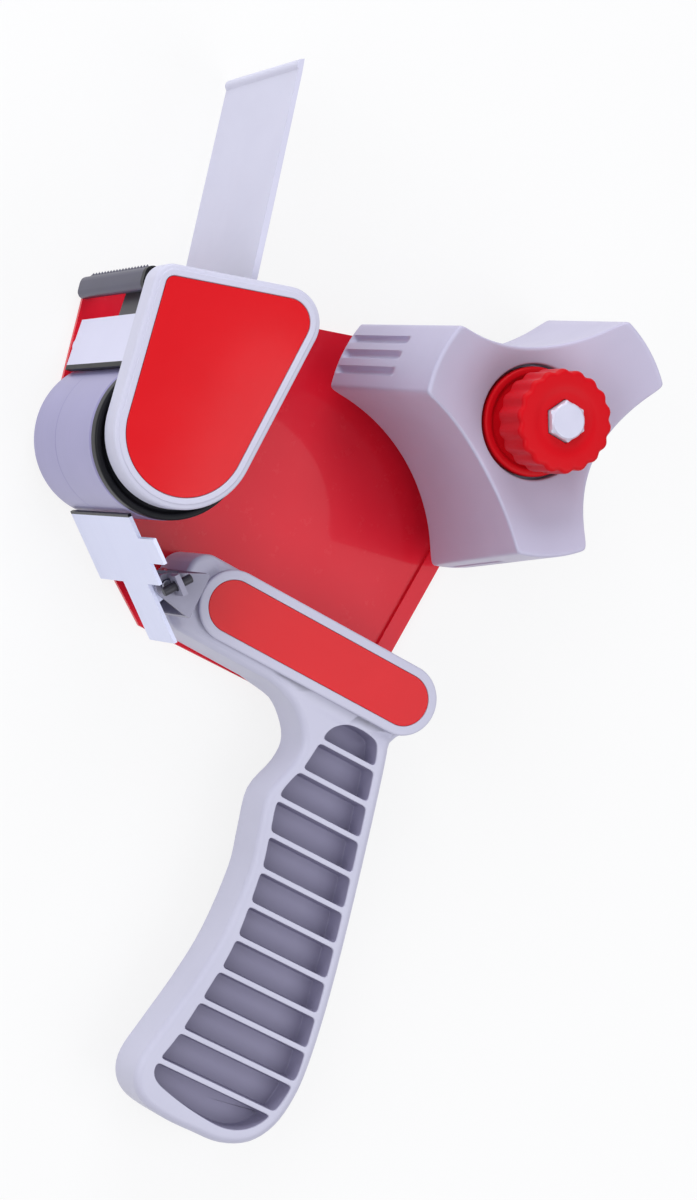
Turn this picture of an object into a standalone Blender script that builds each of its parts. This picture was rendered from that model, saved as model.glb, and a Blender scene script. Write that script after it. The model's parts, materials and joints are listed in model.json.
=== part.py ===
"""A hand tape gun for parcel tape, lying on the flat outside of its side plate.

Sizes are in millimetres, measured from the tape hub's axis, and meshes are in metres.
X runs back along the barrel, Y is up in use, and Z comes out of the side plate.
"""

import math

import bmesh
import bpy
from mathutils import Vector

METRES = 0.001
GAP = 0.3

# Tape: the widest roll, and the head's span between the side plate and the near frame
TAPE_WIDTH = 50.0
SIDE_ROOM = 2.8
SHEET = 1.5

# Side plate: rounds that its edge runs over, each x, y, radius
HUB_ROUND = 20.0
ROLLER_ROUND = 16.0
PLATE_HEEL = (11.0, -91.7, 3.0)
PLATE_BROW = (-114.4, -19.2, 2.0)
PLATE_TOE = (-57.5, -95.2, 1.0)
HEM_WIDTH = 5.0
HEM_RISE = 1.2

# Rubbing roller and its black end
ROLLER_X = -91.7
ROLLER_Y = -54.5
ROLLER_RADIUS = 21.6
ROLLER_WALL = 2.6
ROLLER_END_THICK = 4.0
BLACK_END_THICK = 3.9
BUSH_WALL = 2.2
AXLE_RADIUS = 4.0
SPIGOT_RADIUS = 2.5
NUT_ACROSS_FLATS = 8.0
NUT_HEIGHT = 3.2

# Front cover: rounds of its edge, and its shell
COVER_CHIN = (-92.0, -53.0, 20.0)
COVER_CHEEK = (-80.6, -13.2, 9.6)
COVER_BROW = (-113.2, -20.1, 5.6)
COVER_WALL = 2.2
COVER_RISE = 9.2
COVER_SKIRT = 0.9
COVER_RIM = 3.6
LABEL_THICK = 0.6
LABEL_SINK = 1.0
COVER_SCREWS = ((-107.0, -24.0), (-78.5, -22.0))
SCREW_RADIUS = 1.6

# Front bridge under the blade, its boss, and the dark tab behind the window
BRIDGE_TOP = (-114.0, -28.3)
BRIDGE_FOOT = (-111.915, -43.0)
BRIDGE_LIFT = 3.0
BRIDGE_WALL = 1.6
BRIDGE_BOSS_RADIUS = 3.4
TAB_WIDTH = 29.0
TAB_TOP = (-113.2, -20.4)
TAB_FOOT = (-112.2, -27.2)

# Blade, its rounded holder and the holder's black end
HOLDER_X = -116.6
HOLDER_Y = -19.5
HOLDER_HEIGHT = 6.4
HOLDER_THICK = 4.0
HOLDER_LEAN = math.radians(12.0)
HOLDER_SPIGOT = 1.3
HOLDER_CAP = 3.0
BLADE_THICK = 0.8
BLADE_SEAT = 3.4
TOOTH_PITCH = 2.5
TOOTH_RISE = 1.1

# Wiper flap: its tip, lean, length above the flex line and root below it
FLAP_TIP = (-106.2, 54.0)
FLAP_LEAN = math.radians(14.5)
FLAP_LENGTH = 55.0
FLAP_ROOT = 22.0
FLAP_THICK = 2.0
FLAP_TIP_THICK = 1.2
FLAP_SIDE_ROOM = 1.0
FLAP_NEAR_ROOM = 1.8
WIPER_BAR_THICK = 5.0
WIPER_BAR_HEIGHT = 14.0
WIPER_SPIGOT = 2.0
RIVET_RADIUS = 1.5

# Tape retainer below the roller: a plate that leans 36.9 degrees, and its pivot
RETAINER_EDGE = (ROLLER_X - 0.4, ROLLER_Y - ROLLER_RADIUS - 1.2)
RETAINER_SLOPE = (0.8, -0.6)
RETAINER_WIDE = 49.0
RETAINER_WIDE_RUN = 21.0
EAR_FROM, EAR_TO, EAR_REACH = 7.0, 14.4, 11.5
TONGUE_FROM, TONGUE_WIDTH, TONGUE_RUN = 24.0, 20.0, 39.0
RETAINER_THICK = 1.0
PIVOT_RUN, PIVOT_DROP = 23.5, 4.5
PIVOT_PIN = 1.6
KNUCKLE_RADIUS = 2.8
KNUCKLE_LENGTH = 5.0
LUG_RADIUS = 3.4
BRACKET_SHEET = 1.5
BRACKET_RISE, BRACKET_DROP = 8.0, 5.0
STOP_RADIUS = 1.3
STOP_RUN = 24.0
RETAINER_COILS = 5
RETAINER_WIRE = 0.8

# Tape hub: three arms, drafted, with a dished front
HUB_ROOM = 9.3
HUB_LEAD_IN = 8.1
HUB_FAR_RADIUS = 42.5
HUB_NEAR_RADIUS = 37.3
HUB_ARM_HALF = 10.9
HUB_WAIST = 20.8
HUB_WALL = 3.0
HUB_FLOOR = 5.0
HUB_HOLE = 16.2
HUB_DISH = 0.43
HUB_BEVEL = 0.8
GROOVE_WIDTH = 1.8
GROOVE_DEPTH = 1.1
GROOVE_STEP = 5.0
GROOVES = 3

# Spindle, brake stack and knob
SPINDLE_RADIUS = 6.2
SPINDLE_FLANGE = 12.0
SPINDLE_SPIGOT = 4.0
BOLT_RADIUS = 2.85
BOLT_ACROSS_FLATS = 10.0
BOLT_HEAD = 3.4
BOLT_TIP_HEIGHT = 14.0
BRAKE_SEAT = 5.2
FRICTION_THICK = 1.4
DISC_THICK = 3.4
DISC_RADIUS = 15.4
SPRING_COILS = 5
SPRING_WIRE = 1.2
SPRING_RADIUS = 6.0
SPRING_LENGTH = 11.4
WASHER_THICK = 0.8
KNOB_RADIUS = 14.4
KNOB_SCALLOPS = 18
SCALLOP_DEPTH = 0.8
KNOB_HEIGHT = 13.5
KNOB_LIFT = 5.4

# Handle: barrel, raised oblong for the label, and a ribbed grip
BARREL_FRONT = -60.5
BARREL_BACK = 20.0
BARREL_TOP = -71.5
BARREL_FOOT = -95.0
BARREL_HEIGHT = 24.0
BARREL_CORNER = 6.0
OBLONG_Y = -82.0
OBLONG_FRONT, OBLONG_BACK = -44.5, 14.5
OBLONG_HALF = 10.0
OBLONG_RISE = 3.0
OBLONG_RIM = 2.6
GRIP_THICK = 19.0
GRIP_ROUND = 1.5
GRIP_EDGE = (
    (-24.0, -92.0), (-13.0, -99.5), (-6.6, -109.0), (-10.2, -123.5), (-4.9, -146.0), (-4.0, -165.0),
    (-8.4, -195.0), (-10.2, -205.5), (-4.5, -215.3), (4.0, -217.5), (22.0, -217.5), (32.0, -213.0),
    (37.0, -203.5), (37.8, -190.0), (32.0, -154.7), (22.5, -115.2), (17.4, -96.2), (12.0, -86.0),
)
BAY_EDGE = (
    (-2.5, -100.0), (-3.4, -111.0), (-7.2, -122.5), (-2.0, -144.0), (0.2, -165.0), (-3.0, -195.0),
    (-5.2, -205.0), (-1.5, -209.6), (21.0, -212.6), (29.0, -209.5), (33.6, -202.5), (35.2, -190.0),
    (28.8, -155.0), (19.3, -115.5), (14.6, -97.0), (6.5, -94.8),
)
BAY_DEPTH = 8.0
RIB_TOP = -103.5
RIB_PITCH = 10.0
RIB_THICK = 1.8
RIBS = 11
HANDLE_SCREWS = ((-44.0, -83.5), (-16.0, -83.5), (10.0, -83.5))
HANDLE_SCREW_RADIUS = 2.0
HANDLE_SCREW_HEAD = 3.4
HANDLE_SCREW_LENGTH = 14.0

# Heights above the floor that several pieces share
FLOOR_REVEAL = 0.2
ON_PLATE = SHEET + GAP
ROLLER_LOW = SHEET + SIDE_ROOM
ROLLER_HIGH = ROLLER_LOW + TAPE_WIDTH - GAP
BLACK_LOW = ROLLER_HIGH + GAP
BLACK_HIGH = BLACK_LOW + BLACK_END_THICK
NEAR_LOW = BLACK_HIGH + 2 * GAP
NEAR_HIGH = NEAR_LOW + SHEET
COVER_HIGH = NEAR_LOW + COVER_RISE
HUB_LOW = SHEET + HUB_ROOM
HUB_HIGH = HUB_LOW + TAPE_WIDTH + HUB_LEAD_IN
HUB_HOLE_HIGH = HUB_HIGH - HUB_DISH * (HUB_NEAR_RADIUS - HUB_HOLE)
SEAT_HIGH = HUB_HOLE_HIGH - BRAKE_SEAT
DISC_LOW = SEAT_HIGH + FRICTION_THICK + 2 * GAP
DISC_HIGH = DISC_LOW + DISC_THICK
KNOB_LOW = DISC_HIGH + KNOB_LIFT
KNOB_HIGH = KNOB_LOW + KNOB_HEIGHT
WASHER_LOW = DISC_HIGH + SPRING_LENGTH + 2 * GAP
WASHER_HIGH = WASHER_LOW + WASHER_THICK
HEAD_LOW = KNOB_HIGH - 0.5 * BOLT_HEAD
GRIP_LOW = ON_PLATE + 7.2
HANDLE_HIGH = GRIP_LOW + GRIP_THICK
BARREL_HIGH = ON_PLATE + BARREL_HEIGHT
OBLONG_HIGH = BARREL_HIGH + OBLONG_RISE

WHITE = (0.62, 0.61, 0.70)
RED = (0.62, 0.02, 0.03)
STEEL = (0.62, 0.62, 0.68)
DARK = (0.06, 0.06, 0.075)


# Outlines, as lists of x, y points that run anticlockwise


def hull_of_rounds(rounds, grow=0.0, step=math.radians(15)):
    """The edge that runs over round corners (x, y, radius), given anticlockwise, on straight tangents."""
    normals = []
    for first, second in zip(rounds, rounds[1:] + rounds[:1]):
        run = Vector(second[:2]) - Vector(first[:2])
        turn = math.acos((first[2] - second[2]) / run.length)
        normals.append(math.atan2(run.y, run.x) - turn)
    points = []
    for index, (x, y, radius) in enumerate(rounds):
        start = normals[index - 1]
        sweep = (normals[index] - start) % math.tau
        count = max(1, math.ceil(sweep / step))
        for i in range(count + 1):
            angle = start + sweep * i / count
            reach = radius + grow
            points.append((x + reach * math.cos(angle), y + reach * math.sin(angle)))
    return points


def smooth_loop(points, pieces=4, closed=True):
    """A smooth curve through points, which leaves the joining stretch straight unless it is closed."""
    count = len(points)
    curve = []
    for i in range(count if closed else count - 1):
        if closed:
            four = [Vector(points[(i + k) % count]) for k in (-1, 0, 1, 2)]
        else:
            four = [Vector(points[min(max(i + k, 0), count - 1)]) for k in (-1, 0, 1, 2)]
        before, here, there, after = four
        for j in range(pieces):
            t = j / pieces
            bend = (2 * before - 5 * here + 4 * there - after) * t + (3 * here - before - 3 * there + after) * t * t
            point = here + 0.5 * t * ((there - before) + bend)
            curve.append((point.x, point.y))
    if not closed:
        curve.append(points[-1])
    return curve


def clip_band(outline, low, high):
    """The part of an outline between two values of y."""
    for limit, sign in ((low, 1), (high, -1)):
        kept = []
        for a, b in zip(outline, outline[1:] + outline[:1]):
            inside_a, inside_b = sign * (a[1] - limit) >= 0, sign * (b[1] - limit) >= 0
            if inside_a:
                kept.append(a)
            if inside_a != inside_b:
                share = (limit - a[1]) / (b[1] - a[1])
                kept.append((a[0] + share * (b[0] - a[0]), limit))
        outline = kept
    return outline


def strip(a, b, thick, side=1):
    """A straight strip from a to b, with its thickness to one side."""
    across = Vector((b[1] - a[1], a[0] - b[0])).normalized() * thick * side
    points = [a, b, (b[0] + across.x, b[1] + across.y), (a[0] + across.x, a[1] + across.y)]
    return points[::-1] if side > 0 else points


def star(radius, half, waist, tip_steps=4, side_steps=8):
    """Three arms with round tips and hollow sides, the first arm towards the front."""
    lean = math.asin(half / radius)
    points = []
    for arm in range(3):
        heading = math.pi + arm * math.tau / 3
        for i in range(tip_steps + 1):
            angle = heading - lean + 2 * lean * i / tip_steps
            points.append((radius * math.cos(angle), radius * math.sin(angle)))
        middle = heading + math.pi / 3
        spread = math.pi / 3 - lean
        reach = (radius**2 - waist**2) / (2 * (radius * math.cos(spread) - waist))
        bow = reach - waist
        end = math.atan2(radius * math.sin(spread), reach - radius * math.cos(spread))
        for i in range(1, side_steps):
            turn = end * (2 * i / side_steps - 1)
            along, across = reach - bow * math.cos(turn), bow * math.sin(turn)
            points.append((
                along * math.cos(middle) - across * math.sin(middle),
                along * math.sin(middle) + across * math.cos(middle),
            ))
    return points


def scalloped(radius, count, depth, steps=4):
    """A round edge with shallow scallops."""
    points = []
    for i in range(count * steps):
        angle = math.tau * i / (count * steps)
        reach = radius - depth * (0.5 - 0.5 * math.cos(count * angle))
        points.append((reach * math.cos(angle), reach * math.sin(angle)))
    return points


def hexagon(across_flats, x=0.0, y=0.0):
    corner = across_flats / math.sqrt(3)
    return [(x + corner * math.cos(i * math.tau / 6), y + corner * math.sin(i * math.tau / 6)) for i in range(6)]


# Solids, added to a mesh in millimetres


def add_loft(mesh, levels):
    """Closes a stack of outlines with as many points each; levels are (outline, z) from low to high."""
    rings = [[mesh.verts.new((x, y, z)) for x, y in outline] for outline, z in levels]
    for low, high in zip(rings, rings[1:]):
        for i in range(len(low)):
            j = (i + 1) % len(low)
            mesh.faces.new((low[i], low[j], high[j], high[i]))
    mesh.faces.new(rings[0][::-1])
    mesh.faces.new(rings[-1])


def add_prism(mesh, outline, low, high):
    add_loft(mesh, [(outline, low), (outline, high)])


def add_turned(mesh, profile, x=0.0, y=0.0, sides=24):
    """Turns a closed profile of (radius, z) about a vertical axis. Points on the axis close it."""
    rings = []
    for radius, z in profile:
        if radius == 0:
            rings.append([mesh.verts.new((x, y, z))])
            continue
        angles = [math.tau * i / sides for i in range(sides)]
        rings.append([mesh.verts.new((x + radius * math.cos(a), y + radius * math.sin(a), z)) for a in angles])
    for a, b in zip(rings, rings[1:] + rings[:1]):
        for i in range(sides):
            j = (i + 1) % sides
            if len(a) == 1 and len(b) == 1:
                break
            if len(a) == 1:
                mesh.faces.new((a[0], b[j], b[i]))
            elif len(b) == 1:
                mesh.faces.new((a[i], a[j], b[0]))
            else:
                mesh.faces.new((a[i], a[j], b[j], b[i]))


def add_rod(mesh, profile, start, heading, sides=16):
    """A turned piece whose axis points along heading in the X, Y plane, from start (x, y, z)."""
    rod = bmesh.new()
    add_turned(rod, profile, sides=sides)
    along = Vector((heading[0], heading[1], 0)).normalized()
    side = Vector((0, 0, 1)).cross(along)
    for vert in rod.verts:
        vert.co = Vector(start) + side * vert.co.x + Vector((0, 0, 1)) * vert.co.y + along * vert.co.z
    copied = {vert: mesh.verts.new(vert.co) for vert in rod.verts}
    for face in rod.faces:
        mesh.faces.new([copied[vert] for vert in face.verts])
    rod.free()


def pin_profile(radius, low, high):
    return [(0, low), (radius, low), (radius, high), (0, high)]


def tube_profile(inner, outer, low, high):
    return [(inner, low), (outer, low), (outer, high), (inner, high)]


def helix(radius, low, high, coils, wire, points_per_coil=8):
    """Centre points of a coil, each end standing straight for one wire's thickness."""
    count = coils * points_per_coil
    rise = (high - low - 2 * wire) / count
    points = []
    for i in range(count + 1):
        angle = math.tau * i / points_per_coil
        points.append(Vector((radius * math.cos(angle), radius * math.sin(angle), low + wire + rise * i)))
    first, last = points[0].copy(), points[-1].copy()
    first.z, last.z = low, high
    return [first] + points + [last]


def least_gap(points, wire, neighbours):
    """The least space between turns, measured on points that aren't close along the wire."""
    spaces = []
    for i, a in enumerate(points):
        for b in points[i + neighbours:]:
            spaces.append((a - b).length)
    return min(spaces) - wire


# Objects


def clear_scene():
    for old in list(bpy.data.objects):
        bpy.data.objects.remove(old, do_unlink=True)


def add_axis(name, x, y, parent):
    axis = bpy.data.objects.new(name, None)
    axis.empty_display_size = 0.01
    axis.location = (x * METRES, y * METRES, 0)
    axis.parent = parent
    bpy.context.scene.collection.objects.link(axis)
    return axis


def finish_of(name, colour, roughness, metallic):
    finish = bpy.data.materials.new(name)
    finish.use_nodes = True
    shader = finish.node_tree.nodes["Principled BSDF"]
    shader.inputs["Base Color"].default_value = (*colour, 1)
    shader.inputs["Roughness"].default_value = roughness
    shader.inputs["Metallic"].default_value = metallic
    return finish


def add_object(name, mesh, axis):
    """Makes an object of a mesh in millimetres, hung on the empty that marks its axis."""
    bmesh.ops.recalc_face_normals(mesh, faces=mesh.faces)
    for vert in mesh.verts:
        vert.co = vert.co * METRES - Vector((axis.location.x, axis.location.y, 0)) * (axis is not gun)
    data = bpy.data.meshes.new(name)
    mesh.to_mesh(data)
    mesh.free()
    obj = bpy.data.objects.new(name, data)
    obj.parent = axis
    bpy.context.scene.collection.objects.link(obj)
    return obj


def piece(name, mesh, colour, roughness=0.4, metallic=0.0, axis=None):
    obj = add_object(name, mesh, axis or gun)
    obj.data.materials.append(finish_of(name, colour, roughness, metallic))
    obj.data.shade_smooth()
    obj.data.set_sharp_from_angle(angle=math.radians(35))
    return obj


def shape_with(obj, operation, name, mesh):
    """Cuts or joins a helper shape, which isn't a piece of the gun."""
    helper = add_object(name, mesh, gun)
    helper.hide_render = True
    helper.display_type = "WIRE"
    modifier = obj.modifiers.new(name, "BOOLEAN")
    modifier.operation = operation
    modifier.solver = "EXACT"
    modifier.object = helper
    return helper


def turned_piece(name, profile, x, y, colour, roughness, metallic, axis=None, sides=24):
    mesh = bmesh.new()
    add_turned(mesh, profile, x, y, sides)
    return piece(name, mesh, colour, roughness, metallic, axis)


def wire_piece(name, points, wire, x, y, colour, axis=None):
    """A spring as one unbroken round wire."""
    curve = bpy.data.curves.new(name, "CURVE")
    curve.dimensions = "3D"
    curve.bevel_depth = wire / 2 * METRES
    curve.bevel_resolution = 1
    curve.use_fill_caps = True
    spline = curve.splines.new("POLY")
    spline.points.add(len(points) - 1)
    for spot, point in zip(spline.points, points):
        spot.co = (*((point + Vector((x, y, 0))) * METRES), 1)
    curve.materials.append(finish_of(name, colour, 0.3, 1.0))
    obj = bpy.data.objects.new(name, curve)
    obj.parent = axis or gun
    bpy.context.scene.collection.objects.link(obj)
    return obj


# Places worked out from the driving sizes


def retainer_point(run, drop=0.0):
    """A place on the retainer: run down its slope from the edge at the roller, and drop behind its front."""
    x, y = RETAINER_EDGE
    dx, dy = RETAINER_SLOPE
    return x + run * dx - drop * dy, y + run * dy + drop * dx


def flap_point(run, back=0.0):
    """A place on the flap: run down from its tip, and back from its middle plane."""
    x, y = FLAP_TIP
    sine, cosine = math.sin(FLAP_LEAN), math.cos(FLAP_LEAN)
    return x + run * sine + back * cosine, y - run * cosine + back * sine


def bridge_boss():
    """The middle of the bridge's screw boss, behind the bridge at half its height."""
    middle = Vector(BRIDGE_TOP).lerp(Vector(BRIDGE_FOOT), 0.46)
    down = (Vector(BRIDGE_FOOT) - Vector(BRIDGE_TOP)).normalized()
    return middle + Vector((-down.y, down.x)) * (BRIDGE_WALL + 0.7 * BRIDGE_BOSS_RADIUS)


ROLLER = (ROLLER_X, ROLLER_Y)
PIVOT = retainer_point(PIVOT_RUN, PIVOT_DROP)
FLEX = flap_point(FLAP_LENGTH)
BOSS = tuple(bridge_boss())
WIPER_RUN = FLAP_LENGTH + FLAP_ROOT - 0.5 * WIPER_BAR_HEIGHT - 1.0
WIPER_BAR = flap_point(WIPER_RUN, FLAP_THICK / 2 + GAP + WIPER_BAR_THICK / 2)
FLAP_LOW = SHEET + FLAP_SIDE_ROOM
FLAP_HIGH = NEAR_LOW - FLAP_NEAR_ROOM
RIVET_HEIGHTS = (FLAP_LOW + 0.25 * (FLAP_HIGH - FLAP_LOW), FLAP_LOW + 0.75 * (FLAP_HIGH - FLAP_LOW))
COVER_EDGE = [COVER_CHIN, COVER_CHEEK, COVER_BROW]
BRACKET_FRONT = BARREL_FRONT - GAP - BRACKET_SHEET
BRACKET_LOW = ON_PLATE + 6.0
BRACKET_SCREWS = tuple(
    (y, (BRACKET_LOW + TONGUE_FROM) / 2) for y in (PIVOT[1] + BRACKET_RISE - 3.0, PIVOT[1] - BRACKET_DROP + 3.0)
)

clear_scene()
gun = add_axis("gun_frame", 0, 0, None)
hub_axis = add_axis("hub_axis", 0, 0, gun)
knob_axis = add_axis("knob_axis", 0, 0, gun)
roller_axis = add_axis("roller_axis", *ROLLER, gun)
retainer_axis = add_axis("retainer_axis", *PIVOT, gun)
flap_axis = add_axis("flap_axis", *FLEX, gun)


# Side plate: one sheet with a hemmed rear edge, and holes for what is fixed to it


def countersink(mesh, spots, room=0.0):
    """Flush screw heads in the plate, from the floor side up; room widens them into their holes."""
    for x, y in spots:
        low = FLOOR_REVEAL - (room > 0) * 1.0
        profile = [
            (0, low), (HANDLE_SCREW_HEAD + room, low), (HANDLE_SCREW_HEAD + room, FLOOR_REVEAL + 0.2),
            (HANDLE_SCREW_RADIUS + room, SHEET), (HANDLE_SCREW_RADIUS + room, SHEET + 1.0), (0, SHEET + 1.0),
        ]
        add_turned(mesh, profile, x, y, 16)


def make_side_plate():
    rounds = [PLATE_HEEL, (0.0, 0.0, HUB_ROUND), PLATE_BROW, (*ROLLER, ROLLER_ROUND), PLATE_TOE]
    sheet = bmesh.new()
    add_prism(sheet, hull_of_rounds(rounds), 0, SHEET)
    plate = piece("side_plate", sheet, RED, 0.3)
    edge = hull_of_rounds([PLATE_HEEL, (0.0, 0.0, HUB_ROUND)], step=math.radians(30))
    heel, top = max(zip(edge, edge[1:]), key=lambda pair: (Vector(pair[1]) - Vector(pair[0])).length)
    hem_foot = BARREL_TOP + 2.0
    share = (hem_foot - heel[1]) / (top[1] - heel[1])
    foot = (heel[0] + share * (top[0] - heel[0]), hem_foot)
    hem = bmesh.new()
    add_prism(hem, strip(foot, top, HEM_WIDTH, -1), SHEET / 2, SHEET + HEM_RISE)
    shape_with(plate, "UNION", "plate_hem", hem)
    holes = bmesh.new()
    spigots = (
        (0.0, 0.0, SPINDLE_SPIGOT), (*ROLLER, SPIGOT_RADIUS), (*WIPER_BAR, WIPER_SPIGOT),
        (HOLDER_X + 0.8, HOLDER_Y - 0.5, HOLDER_SPIGOT),
    )
    for x, y, radius in spigots:
        add_turned(holes, pin_profile(radius + GAP, -1, SHEET + 1), x, y, 20)
    countersink(holes, (*HANDLE_SCREWS, BOSS), GAP)
    shape_with(plate, "DIFFERENCE", "plate_holes", holes)


# Near frame: the small sheet behind the cover, with a tab folded in behind the window


def make_near_frame():
    sheet = bmesh.new()
    inset = -(COVER_WALL + 2 * GAP)
    add_prism(sheet, hull_of_rounds(COVER_EDGE, inset), NEAR_LOW, NEAR_HIGH)
    frame = piece("near_frame", sheet, DARK, 0.45, 0.6)
    tab = bmesh.new()
    add_prism(tab, strip(TAB_TOP, TAB_FOOT, SHEET, -1), NEAR_LOW - TAB_WIDTH, NEAR_LOW + SHEET / 2)
    shape_with(frame, "UNION", "frame_tab", tab)
    holes = bmesh.new()
    fixings = (
        (*ROLLER, SPIGOT_RADIUS), (*WIPER_BAR, WIPER_SPIGOT), (*BOSS, SCREW_RADIUS),
        (HOLDER_X + 0.8, HOLDER_Y - 0.5, HOLDER_SPIGOT),
        *((x, y, SCREW_RADIUS) for x, y in COVER_SCREWS),
    )
    for x, y, radius in fixings:
        add_turned(holes, pin_profile(radius + GAP, NEAR_LOW - 1, NEAR_HIGH + 1), x, y, 16)
    shape_with(frame, "DIFFERENCE", "frame_holes", holes)


# Front bridge: a plain wall under the blade with a boss behind it, screwed to plate and frame


def make_bridge():
    wall = bmesh.new()
    add_prism(wall, strip(BRIDGE_TOP, BRIDGE_FOOT, BRIDGE_WALL, -1), ON_PLATE + BRIDGE_LIFT, NEAR_LOW - GAP)
    bridge = piece("front_bridge", wall, WHITE)
    boss = bmesh.new()
    add_turned(boss, pin_profile(BRIDGE_BOSS_RADIUS, ON_PLATE, NEAR_LOW - GAP), *BOSS, 20)
    shape_with(bridge, "UNION", "bridge_boss", boss)
    bores = bmesh.new()
    depth = HANDLE_SCREW_LENGTH + 1
    add_turned(bores, pin_profile(HANDLE_SCREW_RADIUS + GAP, 0, ON_PLATE + depth), *BOSS, 16)
    add_turned(bores, pin_profile(SCREW_RADIUS + GAP, NEAR_LOW - depth, NEAR_LOW + 1), *BOSS, 16)
    shape_with(bridge, "DIFFERENCE", "bridge_bores", bores)
    flush_screw("bridge_screw_far", *BOSS)
    pan_screw("bridge_screw_near", *BOSS, NEAR_HIGH + GAP, -HANDLE_SCREW_LENGTH)


def flush_screw(name, x, y):
    mesh = bmesh.new()
    add_turned(mesh, [
        (0, FLOOR_REVEAL), (HANDLE_SCREW_HEAD, FLOOR_REVEAL), (HANDLE_SCREW_HEAD, FLOOR_REVEAL + 0.2),
        (HANDLE_SCREW_RADIUS, SHEET), (HANDLE_SCREW_RADIUS, HANDLE_SCREW_LENGTH), (0, HANDLE_SCREW_LENGTH),
    ], x, y, 16)
    piece(name, mesh, STEEL, 0.3, 1.0)


def pan_screw(name, x, y, seat, length):
    """A round-headed screw whose shank runs down from its seat if length is below zero, or else up."""
    way = math.copysign(1, length)
    head = 1.9
    profile = [
        (0, seat - way * head), (0.7 * head * 1.6, seat - way * head), (1.9 * SCREW_RADIUS, seat - way * 0.7 * head),
        (1.9 * SCREW_RADIUS, seat), (SCREW_RADIUS, seat), (SCREW_RADIUS, seat + length), (0, seat + length),
    ]
    turned_piece(name, profile, x, y, STEEL, 0.3, 1.0, sides=16)


# Blade: a toothed strip in the slot of a rounded holder, with a black end on the near side


def holder_outline(grow=0.0):
    half = HOLDER_HEIGHT / 2 - HOLDER_THICK / 2
    lean = Vector((-math.sin(HOLDER_LEAN), math.cos(HOLDER_LEAN)))
    radius = HOLDER_THICK / 2 + grow
    centre = Vector((HOLDER_X, HOLDER_Y))
    ends = [(*(centre - lean * half), radius), (*(centre + lean * half), radius)]
    return hull_of_rounds(ends, step=math.radians(30))


def blade_box(low_run, high_run, thick):
    """A leaning slice through the holder: runs are measured up from its middle."""
    lean = Vector((-math.sin(HOLDER_LEAN), math.cos(HOLDER_LEAN)))
    across = Vector((lean.y, -lean.x)) * thick / 2
    centre = Vector((HOLDER_X, HOLDER_Y))
    low, high = centre + lean * low_run, centre + lean * high_run
    return [tuple(low - across), tuple(low + across), tuple(high + across), tuple(high - across)]


def make_blade():
    top = HOLDER_HEIGHT / 2
    far, near = ON_PLATE + 0.5, NEAR_LOW - GAP - HOLDER_CAP
    bar = bmesh.new()
    add_prism(bar, holder_outline(), far, near - GAP)
    holder = piece("blade_holder", bar, STEEL, 0.25, 1.0)
    spigot = bmesh.new()
    high = NEAR_LOW + COVER_SKIRT - GAP
    add_turned(spigot, pin_profile(HOLDER_SPIGOT, FLOOR_REVEAL, far + 2), HOLDER_X + 0.8, HOLDER_Y - 0.5, 16)
    add_turned(spigot, pin_profile(HOLDER_SPIGOT, near - 2, high), HOLDER_X + 0.8, HOLDER_Y - 0.5, 16)
    shape_with(holder, "UNION", "holder_spigots", spigot)
    slot = bmesh.new()
    add_prism(slot, blade_box(top - BLADE_SEAT, top + 2, BLADE_THICK + 2 * GAP), far - 1, near + 1)
    shape_with(holder, "DIFFERENCE", "holder_slot", slot)

    cap = bmesh.new()
    add_prism(cap, holder_outline(0.3), near, near + HOLDER_CAP)
    end = piece("blade_end_cap", cap, DARK, 0.35)
    bore = bmesh.new()
    add_turned(bore, pin_profile(HOLDER_SPIGOT + GAP, near - 1, near + HOLDER_CAP + 1),
               HOLDER_X + 0.8, HOLDER_Y - 0.5, 16)
    shape_with(end, "DIFFERENCE", "cap_bore", bore)

    teeth = int((near - far - 4) / TOOTH_PITCH)
    first = (far + near - teeth * TOOTH_PITCH) / 2
    edge = [(first, top - BLADE_SEAT + GAP), (first + teeth * TOOTH_PITCH, top - BLADE_SEAT + GAP)]
    for i in range(teeth, 0, -1):
        edge.append((first + i * TOOTH_PITCH, top))
        edge.append((first + (i - 0.5) * TOOTH_PITCH, top + TOOTH_RISE))
    edge.append((first, top))
    lean = Vector((-math.sin(HOLDER_LEAN), math.cos(HOLDER_LEAN)))
    blade = bmesh.new()
    sides = []
    for side in (-0.5, 0.5):
        middle = Vector((HOLDER_X, HOLDER_Y)) + Vector((lean.y, -lean.x)) * side * BLADE_THICK
        sides.append([blade.verts.new((*(middle + lean * run), z)) for z, run in edge])
    for i in range(len(edge)):
        j = (i + 1) % len(edge)
        blade.faces.new((sides[0][i], sides[0][j], sides[1][j], sides[1][i]))
    blade.faces.new(sides[0][::-1])
    blade.faces.new(sides[1])
    piece("cutter_blade", blade, STEEL, 0.2, 1.0)


# Wiper: a springy flap in two lengths that meet at the flex line, riveted to a cross bar


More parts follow.
